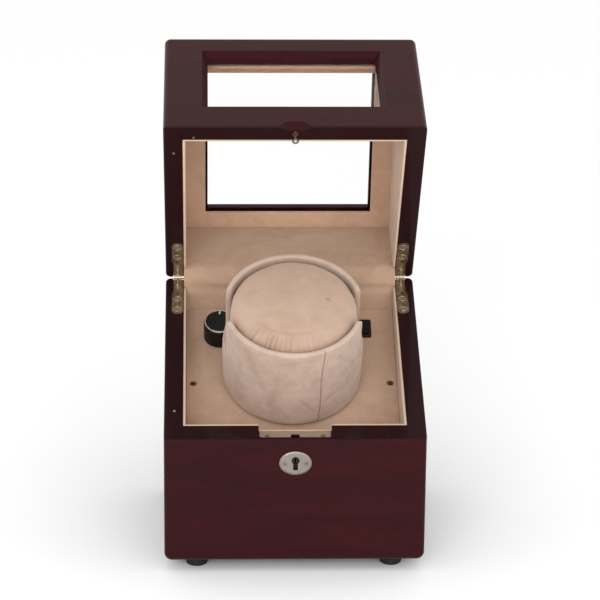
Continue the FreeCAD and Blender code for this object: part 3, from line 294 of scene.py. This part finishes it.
# ---- the materials, and the CAD nodes that wear them ---------------------------------------------
LID_TURN = (LID_OPEN, 0, 0)
DECK_TURN = (-DECK_TILT, 0, 0)
wood_base = mahogany("mahogany_front", rim=(RIM, -1))
wood_base_side = mahogany("mahogany_side", grain="y", seed=0.31, rim=(RIM, -1))
wood_lid = mahogany("mahogany_lid", LID_TURN, seed=0.57, rim=(OPENED @ RIM, 1))
wood_lid_side = mahogany("mahogany_lid_side", LID_TURN, "y", seed=0.83, rim=(OPENED @ RIM, 1))
suede_lining = suede("suede_lining", SUEDE_LINING)
suede_lid = suede("suede_lid", SUEDE_LID_LIGHTENED, 0.4, LID_TURN)
suede_cup = suede("suede_cup", SUEDE_CUP, 0.9, DECK_TURN, 1.3)
suede_cushion = suede("suede_cushion", SUEDE_CUSHION, 1.6, DECK_TURN, 0.8)
nickel = metal("satin_nickel", (0.285, 0.245, 0.225), 0.42, 0.35, (1, 1, 4))
plate_metal = metal("lock_plate_nickel", (0.47, 0.38, 0.31), 0.42, 0.3)
brass = metal("aged_nickel_brass", (0.36, 0.285, 0.205), 0.28, 0.80, (1, 4, 1),
              tarnish=(0.13, 0.098, 0.070))
bright_brass = metal("bright_nickel_brass", (0.70, 0.62, 0.50), 0.26, 0.25, (1, 4, 1),
                     tarnish=(0.40, 0.33, 0.22))
leaf_screw = metal("leaf_screw", (0.46, 0.38, 0.28), 0.36, 0.5, (1, 4, 1),
                   tarnish=(0.22, 0.17, 0.11))
eye_brass = metal("dull_brass", (0.16, 0.125, 0.095), 0.34, 0.4)
screw_brass = metal("escutcheon_screw", (0.235, 0.185, 0.150), 0.40, 0.7, (3, 1, 1),
                    tarnish=(0.36, 0.31, 0.27))
dark_zinc = metal("dark_zinc", (0.035, 0.030, 0.030), 0.5, 0.3)
# painted shade: the lock plug near black, for the shade inside the keyhole
keyhole_shade = metal("keyhole_shade", (0.050, 0.042, 0.038), 0.45, 0.3)
steel = metal("bright_steel", (0.62, 0.61, 0.60), 0.28, 0.2)
zinc = metal("zinc_plate", (0.52, 0.53, 0.54), 0.42, 0.4, (4, 1, 1))
chrome = metal("chrome", (0.92, 0.91, 0.89), 0.24, 0.05)
dark_screw = metal("dark_screw", (0.16, 0.09, 0.075), 0.4, 0.5)
black_gloss = plastic("black_gloss", (0.0040, 0.0036, 0.0040), 0.34, 0.02, 0.03)
black_matte = plastic("black_matte", (0.008, 0.008, 0.009), 0.45, 0.2)
rubber = plastic("rubber", (0.012, 0.012, 0.013), 0.62, 0.35)
nylon = plastic("nylon", (0.70, 0.69, 0.64), 0.45, 0.1)
gear_plastic = plastic("gear_plastic", (0.62, 0.61, 0.56), 0.38, 0.1)
circuit = plastic("circuit_board", (0.012, 0.075, 0.030), 0.3, 0.1, 0.3)
white_line = plastic("pointer_line", (0.75, 0.75, 0.73), 0.4)
glass = clear_glass("clear_glass")
raw_board = board("stained_board", (0.115, 0.045, 0.030))
cover_board = board("hardboard", (0.030, 0.014, 0.011))

NODE_MATERIALS = {
    wood_base: ["base_front_board", "base_rear_board"],
    wood_base_side: ["base_left_board", "base_right_board"],
    wood_lid: ["lid_front_board", "lid_rear_board", "lid_top_board"],
    wood_lid_side: ["lid_left_board", "lid_right_board"],
    raw_board: ["base_bottom_board", "deck_rails"],
    cover_board: ["access_cover"],
    suede_lining: ["deck", "base_lining_front", "base_side_linings", "base_lining_rear",
                   "hinge_flap"],
    suede_lid: ["lid_lining_front", "lid_lining_rear", "lid_lining_top", "lid_side_linings",
                "glazing_beads"],
    suede_cup: ["drum_cup", "drum_floor"],
    suede_cushion: ["watch_cushion"],
    nickel: ["escutcheon"],
    plate_metal: ["lock_plate"],
    screw_brass: ["lock_screws"],
    brass: ["base_hinge_leaves", "lid_hinge_leaves"],
    bright_brass: ["hinge_pins", "lid_rim_pins", "base_rim_pin"],
    leaf_screw: ["base_hinge_screws", "lid_hinge_screws"],
    eye_brass: ["catch_eye"],
    dark_zinc: ["lock_case"],
    keyhole_shade: ["lock_plug"],
    steel: ["underside_screws", "drive_screws", "spindle_clip", "drum_spindle"],
    zinc: ["lock_bolt", "drive_bracket", "gearmotor"],
    dark_screw: ["deck_screws"],
    chrome: ["knob_ring"],
    black_gloss: ["selector_knob", "rocker_cap"],
    black_matte: ["rocker_housing", "selector_switch", "dc_socket"],
    rubber: ["feet"],
    nylon: ["spindle_bush", "board_posts"],
    gear_plastic: ["drum_gear", "motor_pinion"],
    circuit: ["circuit_board"],
    glass: ["front_glass", "top_glass"],
}
for material, names in NODE_MATERIALS.items():
    for name in names:
        mesh = nodes[name].data
        mesh.materials.clear()
        mesh.materials.append(material)


# ---- mesh helpers --------------------------------------------------------------------------------
WELD = 2e-6                         # corners of a CAD mesh that are closer than this are one


def linked(name, data):
    """A new object in the scene that holds some data."""
    item = bpy.data.objects.new(name, data)
    bpy.context.scene.collection.objects.link(item)
    return item


def shade_smooth(mesh):
    for polygon in mesh.polygons:
        polygon.use_smooth = True


def new_object(name, bm, material, body):
    """A piece made from a bmesh, riding on a body unless that is None."""
    mesh = bpy.data.meshes.new(name)
    bm.normal_update()
    bm.to_mesh(mesh)
    bm.free()
    mesh.materials.append(material)
    shade_smooth(mesh)
    piece = linked(name, mesh)
    if body:
        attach(piece, body)
    return piece


def new_light_and_tone(piece):
    """The attribute of painted light and tone that the suede's colour follows, zero all over."""
    return piece.data.attributes.new("painted_light_and_tone", "FLOAT", "POINT")


def welded(node):
    """A CAD node's solid as one welded mesh."""
    bm = bmesh.new()
    bm.from_mesh(nodes[node].data)
    bmesh.ops.remove_doubles(bm, verts=bm.verts, dist=WELD)
    return bm


def bevelled(bm, edges, offset, profile=0.5):
    bmesh.ops.bevel(bm, geom=edges, offset=offset, segments=2, profile=profile, affect="EDGES")


def split_large_faces(bm):
    """Triangles in place of every face of more than four sides."""
    bmesh.ops.triangulate(bm, faces=[f for f in bm.faces if len(f.verts) > 4])


def gridded(bm, cell, frame_of):
    """Cuts every face along a grid, so that it can bend, in the axes of a frame or the part's."""
    if frame_of:
        bm.transform(frame_of.inverted())
    for axis in range(3):
        values = [v.co[axis] for v in bm.verts]
        low, high = min(values), max(values)
        steps = int((high - low) / cell)
        for step in range(1, steps + 1):
            point = Vector((0, 0, 0))
            point[axis] = low + step * (high - low) / (steps + 1)
            normal = Vector((0, 0, 0))
            normal[axis] = 1
            everything = bm.verts[:] + bm.edges[:] + bm.faces[:]
            bmesh.ops.bisect_plane(bm, geom=everything, dist=1e-6, plane_co=point, plane_no=normal)
    if frame_of:
        bm.transform(frame_of)


# ---- shape helpers -------------------------------------------------------------------------------
def ripple(point, size, seed):
    """Smooth noise from -1 to 1 that changes over about a length."""
    return noise.noise(point / size + Vector((seed, 2.3 * seed, 0.7 * seed)))


def smooth_step(value, low, high):
    """0 below a range, 1 above it, and a soft climb between."""
    t = min(1.0, max(0.0, (value - low) / (high - low)))
    return t * t * (3 - 2 * t)


def bell(distance, width):
    """1 at no distance, falling away over a width on either side."""
    return math.exp(-(distance / width) ** 2)


def bezier(points, steps):
    """Points along one cubic curve, both ends included."""
    a, b, c, d = points
    found = []
    for t in (step / steps for step in range(steps + 1)):
        s = 1 - t
        found.append(a * s ** 3 + b * 3 * t * s ** 2 + c * 3 * t * t * s + d * t ** 3)
    return found


# ---- linings on flat boards ----------------------------------------------------------------------
LINING_WAVE = 0.16 * MM             # how uneven their faces are
LINING_EDGE = 0.45 * MM             # how far round their edges are wrapped
LINING_CELL = 3.5 * MM
RIM_PAINTED_HIGHLIGHT = -0.65                    # painted highlight: the wrapped edge along the rim made paler
RIM_HIGHLIGHT_WIDTH = 1.0 * MM


def lining(name, node, body, material, seed, frame_of, rim):
    """A suede-covered panel: the CAD panel with wrapped, softened edges and a slightly uneven face.

    frame_of is the frame that the panel is square to, and rim that of the rim it ends at, where the
    edge gets a painted highlight.
    """
    bm = welded(node)
    bmesh.ops.dissolve_limit(bm, angle_limit=math.radians(2), verts=bm.verts, edges=bm.edges)
    sharp = [e for e in bm.edges
             if len(e.link_faces) == 2 and e.calc_face_angle() > math.radians(30)]
    bevelled(bm, sharp, LINING_EDGE, 0.6)
    gridded(bm, LINING_CELL, frame_of)
    split_large_faces(bm)
    bm.normal_update()
    moves = []
    for vertex in bm.verts:
        wave = 0.6 * ripple(vertex.co, 18 * MM, seed) + 0.4 * ripple(vertex.co, 5 * MM, seed + 5)
        moves.append(vertex.normal * (LINING_WAVE * wave))
    for vertex, move in zip(bm.verts, moves):
        vertex.co += move
    piece = new_object(name, bm, material, body)
    piece.data.set_sharp_from_angle(angle=math.radians(50))
    painted_light_and_tone = new_light_and_tone(piece)
    # painted highlight: paler along the edge at the rim
    if rim:
        inward = rim.inverted()
        heights = [(inward @ v.co).z for v in piece.data.vertices]
        edge = min(heights) if body == "lid" else max(heights)
        for index, height in enumerate(heights):
            painted_light_and_tone.data[index].value = RIM_PAINTED_HIGHLIGHT * bell(height - edge, RIM_HIGHLIGHT_WIDTH)
    return piece


for order, (name, node, body, material, where, rim) in enumerate((
        ("suede_base_front", "base_lining_front", "base", suede_lining, None, RIM),
        ("suede_base_sides", "base_side_linings", "base", suede_lining, None, RIM),
        ("suede_deck", "deck", "base", suede_lining, DECK, None),
        ("suede_lid_front", "lid_lining_front", "lid", suede_lid, OPENED, OPENED @ RIM),
        ("suede_lid_sides", "lid_side_linings", "lid", suede_lid, OPENED, OPENED @ RIM),
        ("suede_lid_top", "lid_lining_top", "lid", suede_lid, OPENED, None))):
    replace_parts(lining(name, node, body, material, 1.0 + order, where, rim), node)


# ---- the rear lining, one sheet across the hinge line --------------------------------------------
SHEET_THICK = 1.1 * MM
SHEET_CELL = 3.0 * MM
SHEET_COLUMNS = 52
SHEET_SIDE_GAP = 0.1 * MM
FOLD_REACH = 5 * MM                 # the curve starts and ends this far from the two boards' edges
FOLD_PULL = 8 * MM                  # the length of its handles
FOLD_STEPS = 16


def face_ends(node, turn):
    """The inner face's lowest and highest point of a rear lining, before a turn is applied."""
    points = [turn @ v.co for v in nodes[node].data.vertices]
    near = min(p.y for p in points)
    heights = [p.z for p in points if p.y < near + 0.01 * MM]
    return Vector((0, near, min(heights))), Vector((0, near, max(heights)))


def along_line(first, last, cell):
    steps = max(1, round((last - first).length / cell))
    return [first.lerp(last, step / steps) for step in range(steps)]


def thick_sheet(rows):
    """A closed mesh over rows of points and normals, with the sheet's thickness behind them."""
    bm = bmesh.new()
    front = [[bm.verts.new(p) for p, _ in row] for row in rows]
    back = [[bm.verts.new(p - n * SHEET_THICK) for p, n in row] for row in rows]
    for grid, order in ((front, 1), (back, -1)):
        for lower, upper in zip(grid, grid[1:]):
            for i in range(len(lower) - 1):
                bm.faces.new([lower[i], lower[i + 1], upper[i + 1], upper[i]][::order])
    border, rear_border = ([*grid[0], *(row[-1] for row in grid[1:]), *grid[-1][-2::-1],
                            *(row[0] for row in grid[-2:0:-1])] for grid in (front, back))
    for i in range(len(border)):
        j = (i + 1) % len(border)
        bm.faces.new((border[j], border[i], rear_border[i], rear_border[j]))
    bmesh.ops.recalc_face_normals(bm, faces=bm.faces)
    return bm


def rear_sheet():
    """One suede sheet up the base's rear lining, across the hinge line and up the lid's, with
    painted shade in the fold at the base board's edge.
    """
    base_low, base_edge = face_ends("base_lining_rear", Matrix())
    lid_edge, lid_top = (OPENED @ p for p in face_ends("lid_lining_rear", OPENED.inverted()))
    lid_way = (lid_top - lid_edge).normalized()
    up = Vector((0, 0, 1))
    before, after = base_edge - up * FOLD_REACH, lid_edge + lid_way * FOLD_REACH
    fold = bezier((before, before + up * FOLD_PULL, after - lid_way * FOLD_PULL, after), FOLD_STEPS)
    path = [*along_line(base_low, before, SHEET_CELL), *fold,
            *along_line(after, lid_top, SHEET_CELL)[1:], lid_top]
    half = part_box("base_lining_rear")[1].x - SHEET_SIDE_GAP
    across = [-half + 2 * half * step / SHEET_COLUMNS for step in range(SHEET_COLUMNS + 1)]
    rows = []
    length = 0.0
    for index, spot in enumerate(path):
        ahead = path[min(index + 1, len(path) - 1)] - path[max(index - 1, 0)]
        normal = Vector((0, -ahead.z, ahead.y)).normalized()
        length += (spot - path[index - 1]).length if index else 0.0
        from_fold = (spot - base_edge).length
        row = []
        for x in across:
            here = Vector((x, spot.y, spot.z))
            pucker = ripple(Vector((x * 0.35, 0, length * 2.2)), 6 * MM, 8.0)
            lift = 0.22 * MM * ripple(here, 16 * MM, 3.1)
            lift += 0.7 * MM * pucker * bell(from_fold, 9 * MM)
            lift -= 0.9 * MM * bell(from_fold, 2.2 * MM)
            row.append((here + normal * lift, normal))
        rows.append(row)
    piece = new_object("suede_rear", thick_sheet(rows), suede_lining, None)
    piece.data.set_sharp_from_angle(angle=math.radians(60))
    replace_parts(piece, "base_lining_rear", "hinge_flap", "lid_lining_rear")
    painted_light_and_tone = new_light_and_tone(piece)
    # painted shade: darker in the fold at the base board's edge
    for index, vertex in enumerate(piece.data.vertices):
        gap = math.hypot(vertex.co.y - base_edge.y, vertex.co.z - base_edge.z)
        painted_light_and_tone.data[index].value = 0.35 * bell(gap, 2.0 * MM)
    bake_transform(piece)


rear_sheet()


# ---- soft pieces ---------------------------------------------------------------------------------
def applied(piece):
    """Bakes a piece's modifiers into its mesh."""
    graph = bpy.context.evaluated_depsgraph_get()
    mesh = bpy.data.meshes.new_from_object(piece.evaluated_get(graph))
    piece.modifiers.clear()
    piece.data = mesh


def remeshed(bm, name, voxel, smoothing):
    """An even mesh over a closed shape, its edges softened."""
    mesh = bpy.data.meshes.new(name)
    bm.to_mesh(mesh)
    bm.free()
    piece = linked(name, mesh)
    remesh = piece.modifiers.new("even", "REMESH")
    remesh.mode = "VOXEL"
    remesh.voxel_size = voxel
    soften = piece.modifiers.new("soften", "SMOOTH")
    soften.factor = 0.5
    soften.iterations = smoothing
    applied(piece)
    return piece


# ---- cup -----------------------------------------------------------------------------------------
CUP_VOXEL = 1.1 * MM
CUP_SMOOTHING = 3
CUP_FACE = 0.93 * CUP_RADIUS        # further out than this is the wall's outer face
SEAM_LOW = math.radians(20.1)       # from the front towards +X, at the cup's foot and at its top
SEAM_HIGH = math.radians(24.8)
SEAM_REACHES = (4.2 * MM, 3.0 * MM)  # the mesh is made finer this close to the seam, once for each
SEAM_DEPTH = 0.55 * MM
SEAM_LAP = 0.30 * MM                # how far the upper of the two edges stands out
STITCH_LINE = 2.3 * MM              # from the seam to its row of stitches
STITCH_DEPTH = 0.16 * MM
CREASES = [      # both ends (mm along the wall from the front, mm up), then width and depth in mm; the depth also sets the crease's painted shade
    (4, 25, 13, 13, 1.0, 0.45), (-34, 60, -20, 30, 2.6, 0.50), (-8, 58, 8, 61, 1.6, 0.28),
    (-24, 62, -30, 40, 1.5, 0.30), (-12, 30, -16, 18, 2.5, 0.40), (30, 55, 44, 40, 2.4, 0.45),
    (22, 20, 34, 26, 1.4, 0.30), (-46, 30, -38, 12, 2.0, 0.35), (6, 52, 14, 38, 2.2, 0.22),
]
CUP_RIM_HIGHLIGHT = 2.6 * MM                 # painted highlight: the paler band below the top edge
NOTCH_SPOT = Vector((-42.9, -13.2, 66.6)) * MM      # a dark mark at the tip beside the left notch


def to_segment(u, v, a, b, c, d):
    """Distance from (u, v) to the line from (a, b) to (c, d)."""
    along = ((u - a) * (c - a) + (v - b) * (d - b)) / ((c - a) ** 2 + (d - b) ** 2)
    along = min(1.0, max(0.0, along))
    return math.hypot(u - a - along * (c - a), v - b - along * (d - b))


def seam_offset(here):
    """How far a point of the cup's wall lies past the seam, along the wall."""
    angle = math.atan2(here.x, -here.y)
    place = here.z / CUP_TOP
    seam = SEAM_LOW + (SEAM_HIGH - SEAM_LOW) * place + 0.012 * math.sin(7 * place)
    return (angle - seam) * CUP_RADIUS


def cup_detail(here):
    """How far a point of the cup is lifted, and its painted light and tone: painted shade in
    creases and the seam, random patches, a painted highlight below the edge.
    """
    lift = 0.22 * MM * ripple(here, 14 * MM, 4.0) + 0.08 * MM * ripple(here, 4 * MM, 6.0)
    painted_light_and_tone = 0.0
    wall = smooth_step(here.xy.length, 0.95 * CUP_RADIUS, 0.985 * CUP_RADIUS)
    if wall > 0:
        round_way = math.atan2(here.x, -here.y) * CUP_RADIUS / MM
        for a, b, c, d, width, depth in CREASES:
            close = bell(to_segment(round_way, here.z / MM, a, b, c, d), width)
            lift -= wall * close * depth * MM
            # painted shade: darker in each crease
            painted_light_and_tone += wall * close * depth * 0.35
        past = seam_offset(here)
        stitch = bell(past - STITCH_LINE, 0.4 * MM)
        lap = smooth_step(past, 0, 0.6 * MM) * math.exp(-max(past, 0) / (6 * MM))
        lift -= wall * SEAM_DEPTH * bell(past, 0.45 * MM)
        lift += wall * SEAM_LAP * lap
        lift -= wall * STITCH_DEPTH * stitch
        # painted shade in the seam and along the dented stitch line
        painted_light_and_tone += wall * (0.75 * bell(past, 0.40 * MM) + 0.16 * stitch)
        painted_light_and_tone += wall * (0.14 * ripple(here, 15 * MM, 21.0) + 0.10 * ripple(here, 6 * MM, 23.0))
    # painted highlight: paler towards the top edge
    painted_light_and_tone -= 0.25 * smooth_step(here.z - CUP_TOP + CUP_RIM_HIGHLIGHT, 0, CUP_RIM_HIGHLIGHT)
    painted_light_and_tone += 0.9 * bell((here - NOTCH_SPOT).length, 1.1 * MM)
    return lift, painted_light_and_tone


def cup():
    """The suede cup: an even mesh over the CAD cup, finer along its seam, with the detail."""
    bm = welded("drum_cup")
    bm.transform(DECK.inverted())
    piece = remeshed(bm, "suede_cup", CUP_VOXEL, CUP_SMOOTHING)
    bm = bmesh.new()
    bm.from_mesh(piece.data)

    def by_seam(here, reach):
        return here.xy.length > CUP_FACE and abs(seam_offset(here)) < reach and here.z > 1 * MM

    for reach in SEAM_REACHES:
        close = [e for e in bm.edges if all(by_seam(v.co, reach) for v in e.verts)]
        bmesh.ops.subdivide_edges(bm, edges=close, cuts=1, use_grid_fill=True)
    split_large_faces(bm)
    bm.normal_update()
    layer = bm.verts.layers.float.new("painted_light_and_tone")
    moves = []
    for vertex in bm.verts:
        lift, vertex[layer] = cup_detail(vertex.co)
        moves.append(vertex.normal * lift)
    for vertex, move in zip(bm.verts, moves):
        vertex.co += move
    bm.transform(DECK)
    old = piece.data
    piece.data = bpy.data.meshes.new("suede_cup")
    bm.to_mesh(piece.data)
    bm.free()
    bpy.data.meshes.remove(old)
    piece.data.materials.append(suede_cup)
    shade_smooth(piece.data)
    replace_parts(piece, "drum_cup")
    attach(piece, "drum")


cup()


# ---- cushion -------------------------------------------------------------------------------------
CUSHION_SHRINK = 0.985              # sideways, before the fabric is blown up
CUSHION_VOXEL = 3.2 * MM
CUSHION_LIMIT = 41.0 * MM           # its radius inside the cup
CUSHION_SPOT = (21.7 * MM, -0.8 * MM)
CLOTH_PRESSURE = 4.0
CLOTH_QUALITY = 6
CLOTH_STEPS = 20
CLOTH_CAP = 1.6 * MM                # how far the simulation may move a point
TOP_BAND = (50 * MM, 62 * MM)       # the height over which the sides turn into the top
GATHER_START = 29 * MM              # where the top's fabric starts to gather, from the axis
GATHER_BAND = 6 * MM
GATHERS = 62                        # all the way round, though they fade out away from the front
GATHER_TURN = 0.25                  # radians from the front towards -X, where they are strongest
GATHER_HEIGHT = 0.66 * MM


def swollen(piece, cap):
    """Blows a closed shape up as cloth, and lets no point move further than a cap."""
    before = [v.co.copy() for v in piece.data.vertices]
    cloth = piece.modifiers.new("cloth", "CLOTH")
    cloth.settings.use_pressure = True
    cloth.settings.uniform_pressure_force = CLOTH_PRESSURE
    cloth.settings.effector_weights.gravity = 0.0
    cloth.settings.quality = CLOTH_QUALITY
    scene = bpy.context.scene
    for step in range(1, CLOTH_STEPS + 1):
        scene.frame_set(step)
    applied(piece)
    scene.frame_set(1)
    for vertex, old in zip(piece.data.vertices, before):
        move = vertex.co - old
        if move.length > cap:
            vertex.co = old + move * (cap / move.length)


def cushion_detail(here):
    """How far a point of the cushion is lifted, and its painted light and tone: painted shade in
    the gathers and along the dent, random tone and one small spot.
    """
    radius = here.xy.length
    angle = math.atan2(here.x, -here.y)
    round_way = Vector((math.cos(angle), math.sin(angle), 0))
    on_top = smooth_step(here.z, *TOP_BAND)
    band = smooth_step(radius, GATHER_START, GATHER_START + GATHER_BAND) * on_top
    front = 0.12 + 0.88 * smooth_step(math.cos(angle + GATHER_TURN), 0.66, 0.96)
    phase = GATHERS * angle + 5.5 * ripple(round_way, 0.22, 1.7)
    phase += 1.2 * ripple(here, 7 * MM, 11.0)
    uneven = max(0.12, 0.75 + 1.1 * ripple(round_way + Vector((0, 0, 2)), 0.10, 5.2))
    fold = (0.5 + 0.5 * math.cos(phase)) ** 0.7
    edge = radius - GATHER_START
    lift = GATHER_HEIGHT * (fold - 0.6) * band * front * uneven
    lift += 0.5 * MM * ripple(here, 17 * MM, 9.0) * on_top
    lift += 0.14 * MM * ripple(here, 5 * MM, 2.0)
    lift -= 0.35 * MM * bell(edge, 1.4 * MM) * on_top * front
    # painted shade: darker between the gathers and along the dent where they start
    painted_light_and_tone = 0.28 * (1 - fold) * band * front * uneven
    painted_light_and_tone += 0.16 * bell(edge, 1.3 * MM) * on_top * front
    painted_light_and_tone += 0.10 * ripple(here, 9 * MM, 14.0) * on_top
    spot = math.hypot(here.x - CUSHION_SPOT[0], here.y - CUSHION_SPOT[1])
    painted_light_and_tone += 0.75 * bell(spot, 1.1 * MM) * on_top
    return lift, painted_light_and_tone


def cushion():
    """The watch cushion: blown up as cloth, then given its gathers and dents."""
    bm = welded("watch_cushion")
    bm.transform(DECK.inverted())
    for vertex in bm.verts:
        vertex.co.xy *= CUSHION_SHRINK
    piece = remeshed(bm, "suede_cushion", CUSHION_VOXEL, 1)
    swollen(piece, CLOTH_CAP)
    finer = piece.modifiers.new("finer", "SUBSURF")
    finer.levels = 2
    finer.render_levels = 2
    applied(piece)
    painted_light_and_tones = new_light_and_tone(piece)
    normals = [v.normal.copy() for v in piece.data.vertices]
    for index, vertex in enumerate(piece.data.vertices):
        here = vertex.co
        lift, painted_light_and_tones.data[index].value = cushion_detail(here)
        here += normals[index] * lift
        if here.xy.length > CUSHION_LIMIT and here.z < CUP_TOP + 1 * MM:
            here.xy *= CUSHION_LIMIT / here.xy.length
    piece.data.transform(DECK)
    piece.data.materials.append(suede_cushion)
    shade_smooth(piece.data)
    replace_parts(piece, "watch_cushion")
    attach(piece, "cushion")


cushion()


# ---- small details -------------------------------------------------------------------------------
POINTER_SIZE = (0.8 * MM, 2.6 * MM, 0.18 * MM)
POINTER_PLACE = Vector((0, 7.3 * MM, 15.53 * MM))   # from the knob's axis, up to the knob's top
LEAF_X = 74.6 * MM
LEAF_FACE = 0.15 * MM               # half of the gap between the two leaves when the lid is shut
RIB_START = 3.2 * MM                # from the hinge line, along the leaf
RIB_SIZE = (0.9 * MM, 5.7 * MM, 0.18 * MM)
# a thin black patch of painted shade where the stop hole is
HOLE_SHADE_AT = 16.7 * MM
HOLE_SHADE_SIZE = (1.1 * MM, 1.7 * MM, 0.08 * MM)
LEAF_RINGS = (22.5 * MM, 33.0 * MM)
RING_RADIUS = 2.35 * MM
RING_TUBE = 0.14 * MM


def add_bar(bm, centre, size, bevel):
    """A small bevelled bar, square to the axes."""
    place = Matrix.Translation(centre) @ Matrix.Diagonal((*size, 1))
    found = bmesh.ops.create_cube(bm, size=1, matrix=place)
    bevelled(bm, list(dict.fromkeys(e for v in found["verts"] for e in v.link_edges)), bevel)


def add_ring(bm, centre, radius, tube):
    """A thin round ring that lies flat round a screw."""
    turns, sides = 28, 8
    grid = []
    for turn in (math.tau * i / turns for i in range(turns)):
        way = Vector((math.cos(turn), math.sin(turn), 0))
        row = []
        for side in (math.tau * j / sides for j in range(sides)):
            out = way * (radius + tube * math.cos(side))
            row.append(bm.verts.new(centre + out + Vector((0, 0, tube * math.sin(side)))))
        grid.append(row)
    for i in range(turns):
        for j in range(sides):
            k, m = (i + 1) % turns, (j + 1) % sides
            bm.faces.new((grid[i][j], grid[k][j], grid[k][m], grid[i][m]))


def knob_pointer():
    """The white line on the knob's top."""
    axis = DECK.inverted() @ Vector(joints["knob_turn"]["pos_m"])
    bm = bmesh.new()
    add_bar(bm, Vector((axis.x, axis.y, 0)) + POINTER_PLACE, POINTER_SIZE, 0.05 * MM)
    bm.transform(DECK)
    new_object("knob_pointer", bm, white_line, "knob")


def hinge_trim():
    """The raised rib, the screws' worn rings, and a thin black patch of painted shade for the small
    stop hole on each leaf.
    """
    for body, place, side in (("base", RIM, -1), ("lid", OPENED @ RIM, 1)):
        bright, dark = bmesh.new(), bmesh.new()
        for hand in (-1, 1):
            face = Vector((hand * LEAF_X, 0, side * LEAF_FACE))
            rib = face - Vector((0, RIB_START + RIB_SIZE[1] / 2, 0))
            add_bar(bright, rib, RIB_SIZE, 0.07 * MM)
            for reach in LEAF_RINGS:
                add_ring(bright, face - Vector((0, reach, 0)), RING_RADIUS, RING_TUBE)
            # painted shade: a black patch for the stop hole
            add_bar(dark, face - Vector((0, HOLE_SHADE_AT, 0)), HOLE_SHADE_SIZE, 0.03 * MM)
        for bm, label, material, slot in ((bright, "hinge_trim", bright_brass, "aged_brass"),
                                          (dark, "hinge_hole_shade", black_matte, "black_matte")):
            bm.transform(place)
            new_object(f"{label}_{body}", bm, material, body)


knob_pointer()
hinge_trim()


# ---- stage, light, camera ------------------------------------------------------------------------
SKY_LIGHT = 0.92
FLOOR_TONE = 0.93
FLOOR_SIZE = 14
FLOOR_CENTRE = (0, 2, 0)
LIGHTS = {                          # place, width and length, and power in watts
    "key": ((-0.55, -2.2, 0.95), (1.3, 1.1), 20),
    "fill": ((0.75, -2.2, 0.75), (1.1, 1.0), 10),
}
LIT_POINT = Vector((0, 0, 0.15))
EXPOSURE = 0.15
CAMERA_PLACE = (-0.0579, -1.7186, 0.7085)
CAMERA_ANGLES = (18.046, 2.117, 0.56)      # degrees: down, towards +X, and rolled
CAMERA_LENS = 165.98                # mm, with a sensor 36 mm wide


def area_light(name, place, size, power):
    light = bpy.data.lights.new(name, "AREA")
    light.shape = "RECTANGLE"
    light.size, light.size_y = size
    light.energy = power
    item = linked(name, light)
    item.location = place
    item.rotation_euler = (LIT_POINT - Vector(place)).to_track_quat("-Z", "Y").to_euler()


def stage():
    """A pale floor under an even sky, with two large soft lights in front."""
    bpy.ops.mesh.primitive_plane_add(size=FLOOR_SIZE, location=FLOOR_CENTRE)
    floor = bpy.context.object
    floor.name = "floor"
    pale = Nodes("pale_floor")
    floor.data.materials.append(pale.finish(Base_Color=(FLOOR_TONE,) * 3, Roughness=1.0,
                                            Specular_IOR_Level=0.0))
    scene = bpy.context.scene
    scene.world = bpy.data.worlds.new("studio")
    scene.world.use_nodes = True
    background = scene.world.node_tree.nodes["Background"]
    background.inputs["Color"].default_value = (1, 1, 1, 1)
    background.inputs["Strength"].default_value = SKY_LIGHT
    for name, settings in LIGHTS.items():
        area_light(name, *settings)
    scene.view_settings.view_transform = "Standard"
    scene.view_settings.exposure = EXPOSURE


def camera():
    """Stands in front of the box and looks down at it, a little turned and rolled."""
    pitch, yaw, roll = (math.radians(a) for a in CAMERA_ANGLES)
    forward = Vector((math.sin(yaw) * math.cos(pitch), math.cos(yaw) * math.cos(pitch),
                      -math.sin(pitch)))
    flat_right = Vector((math.cos(yaw), -math.sin(yaw), 0))
    flat_up = flat_right.cross(forward)
    right = math.cos(roll) * flat_right + math.sin(roll) * flat_up
    up = math.cos(roll) * flat_up - math.sin(roll) * flat_right
    data = bpy.data.cameras.new("camera")
    data.lens = CAMERA_LENS
    data.sensor_width = 36
    item = linked("camera", data)
    turn = Matrix((right, up, -forward)).transposed()
    item.matrix_world = Matrix.Translation(CAMERA_PLACE) @ turn.to_4x4()
    bpy.context.scene.camera = item


stage()
camera()
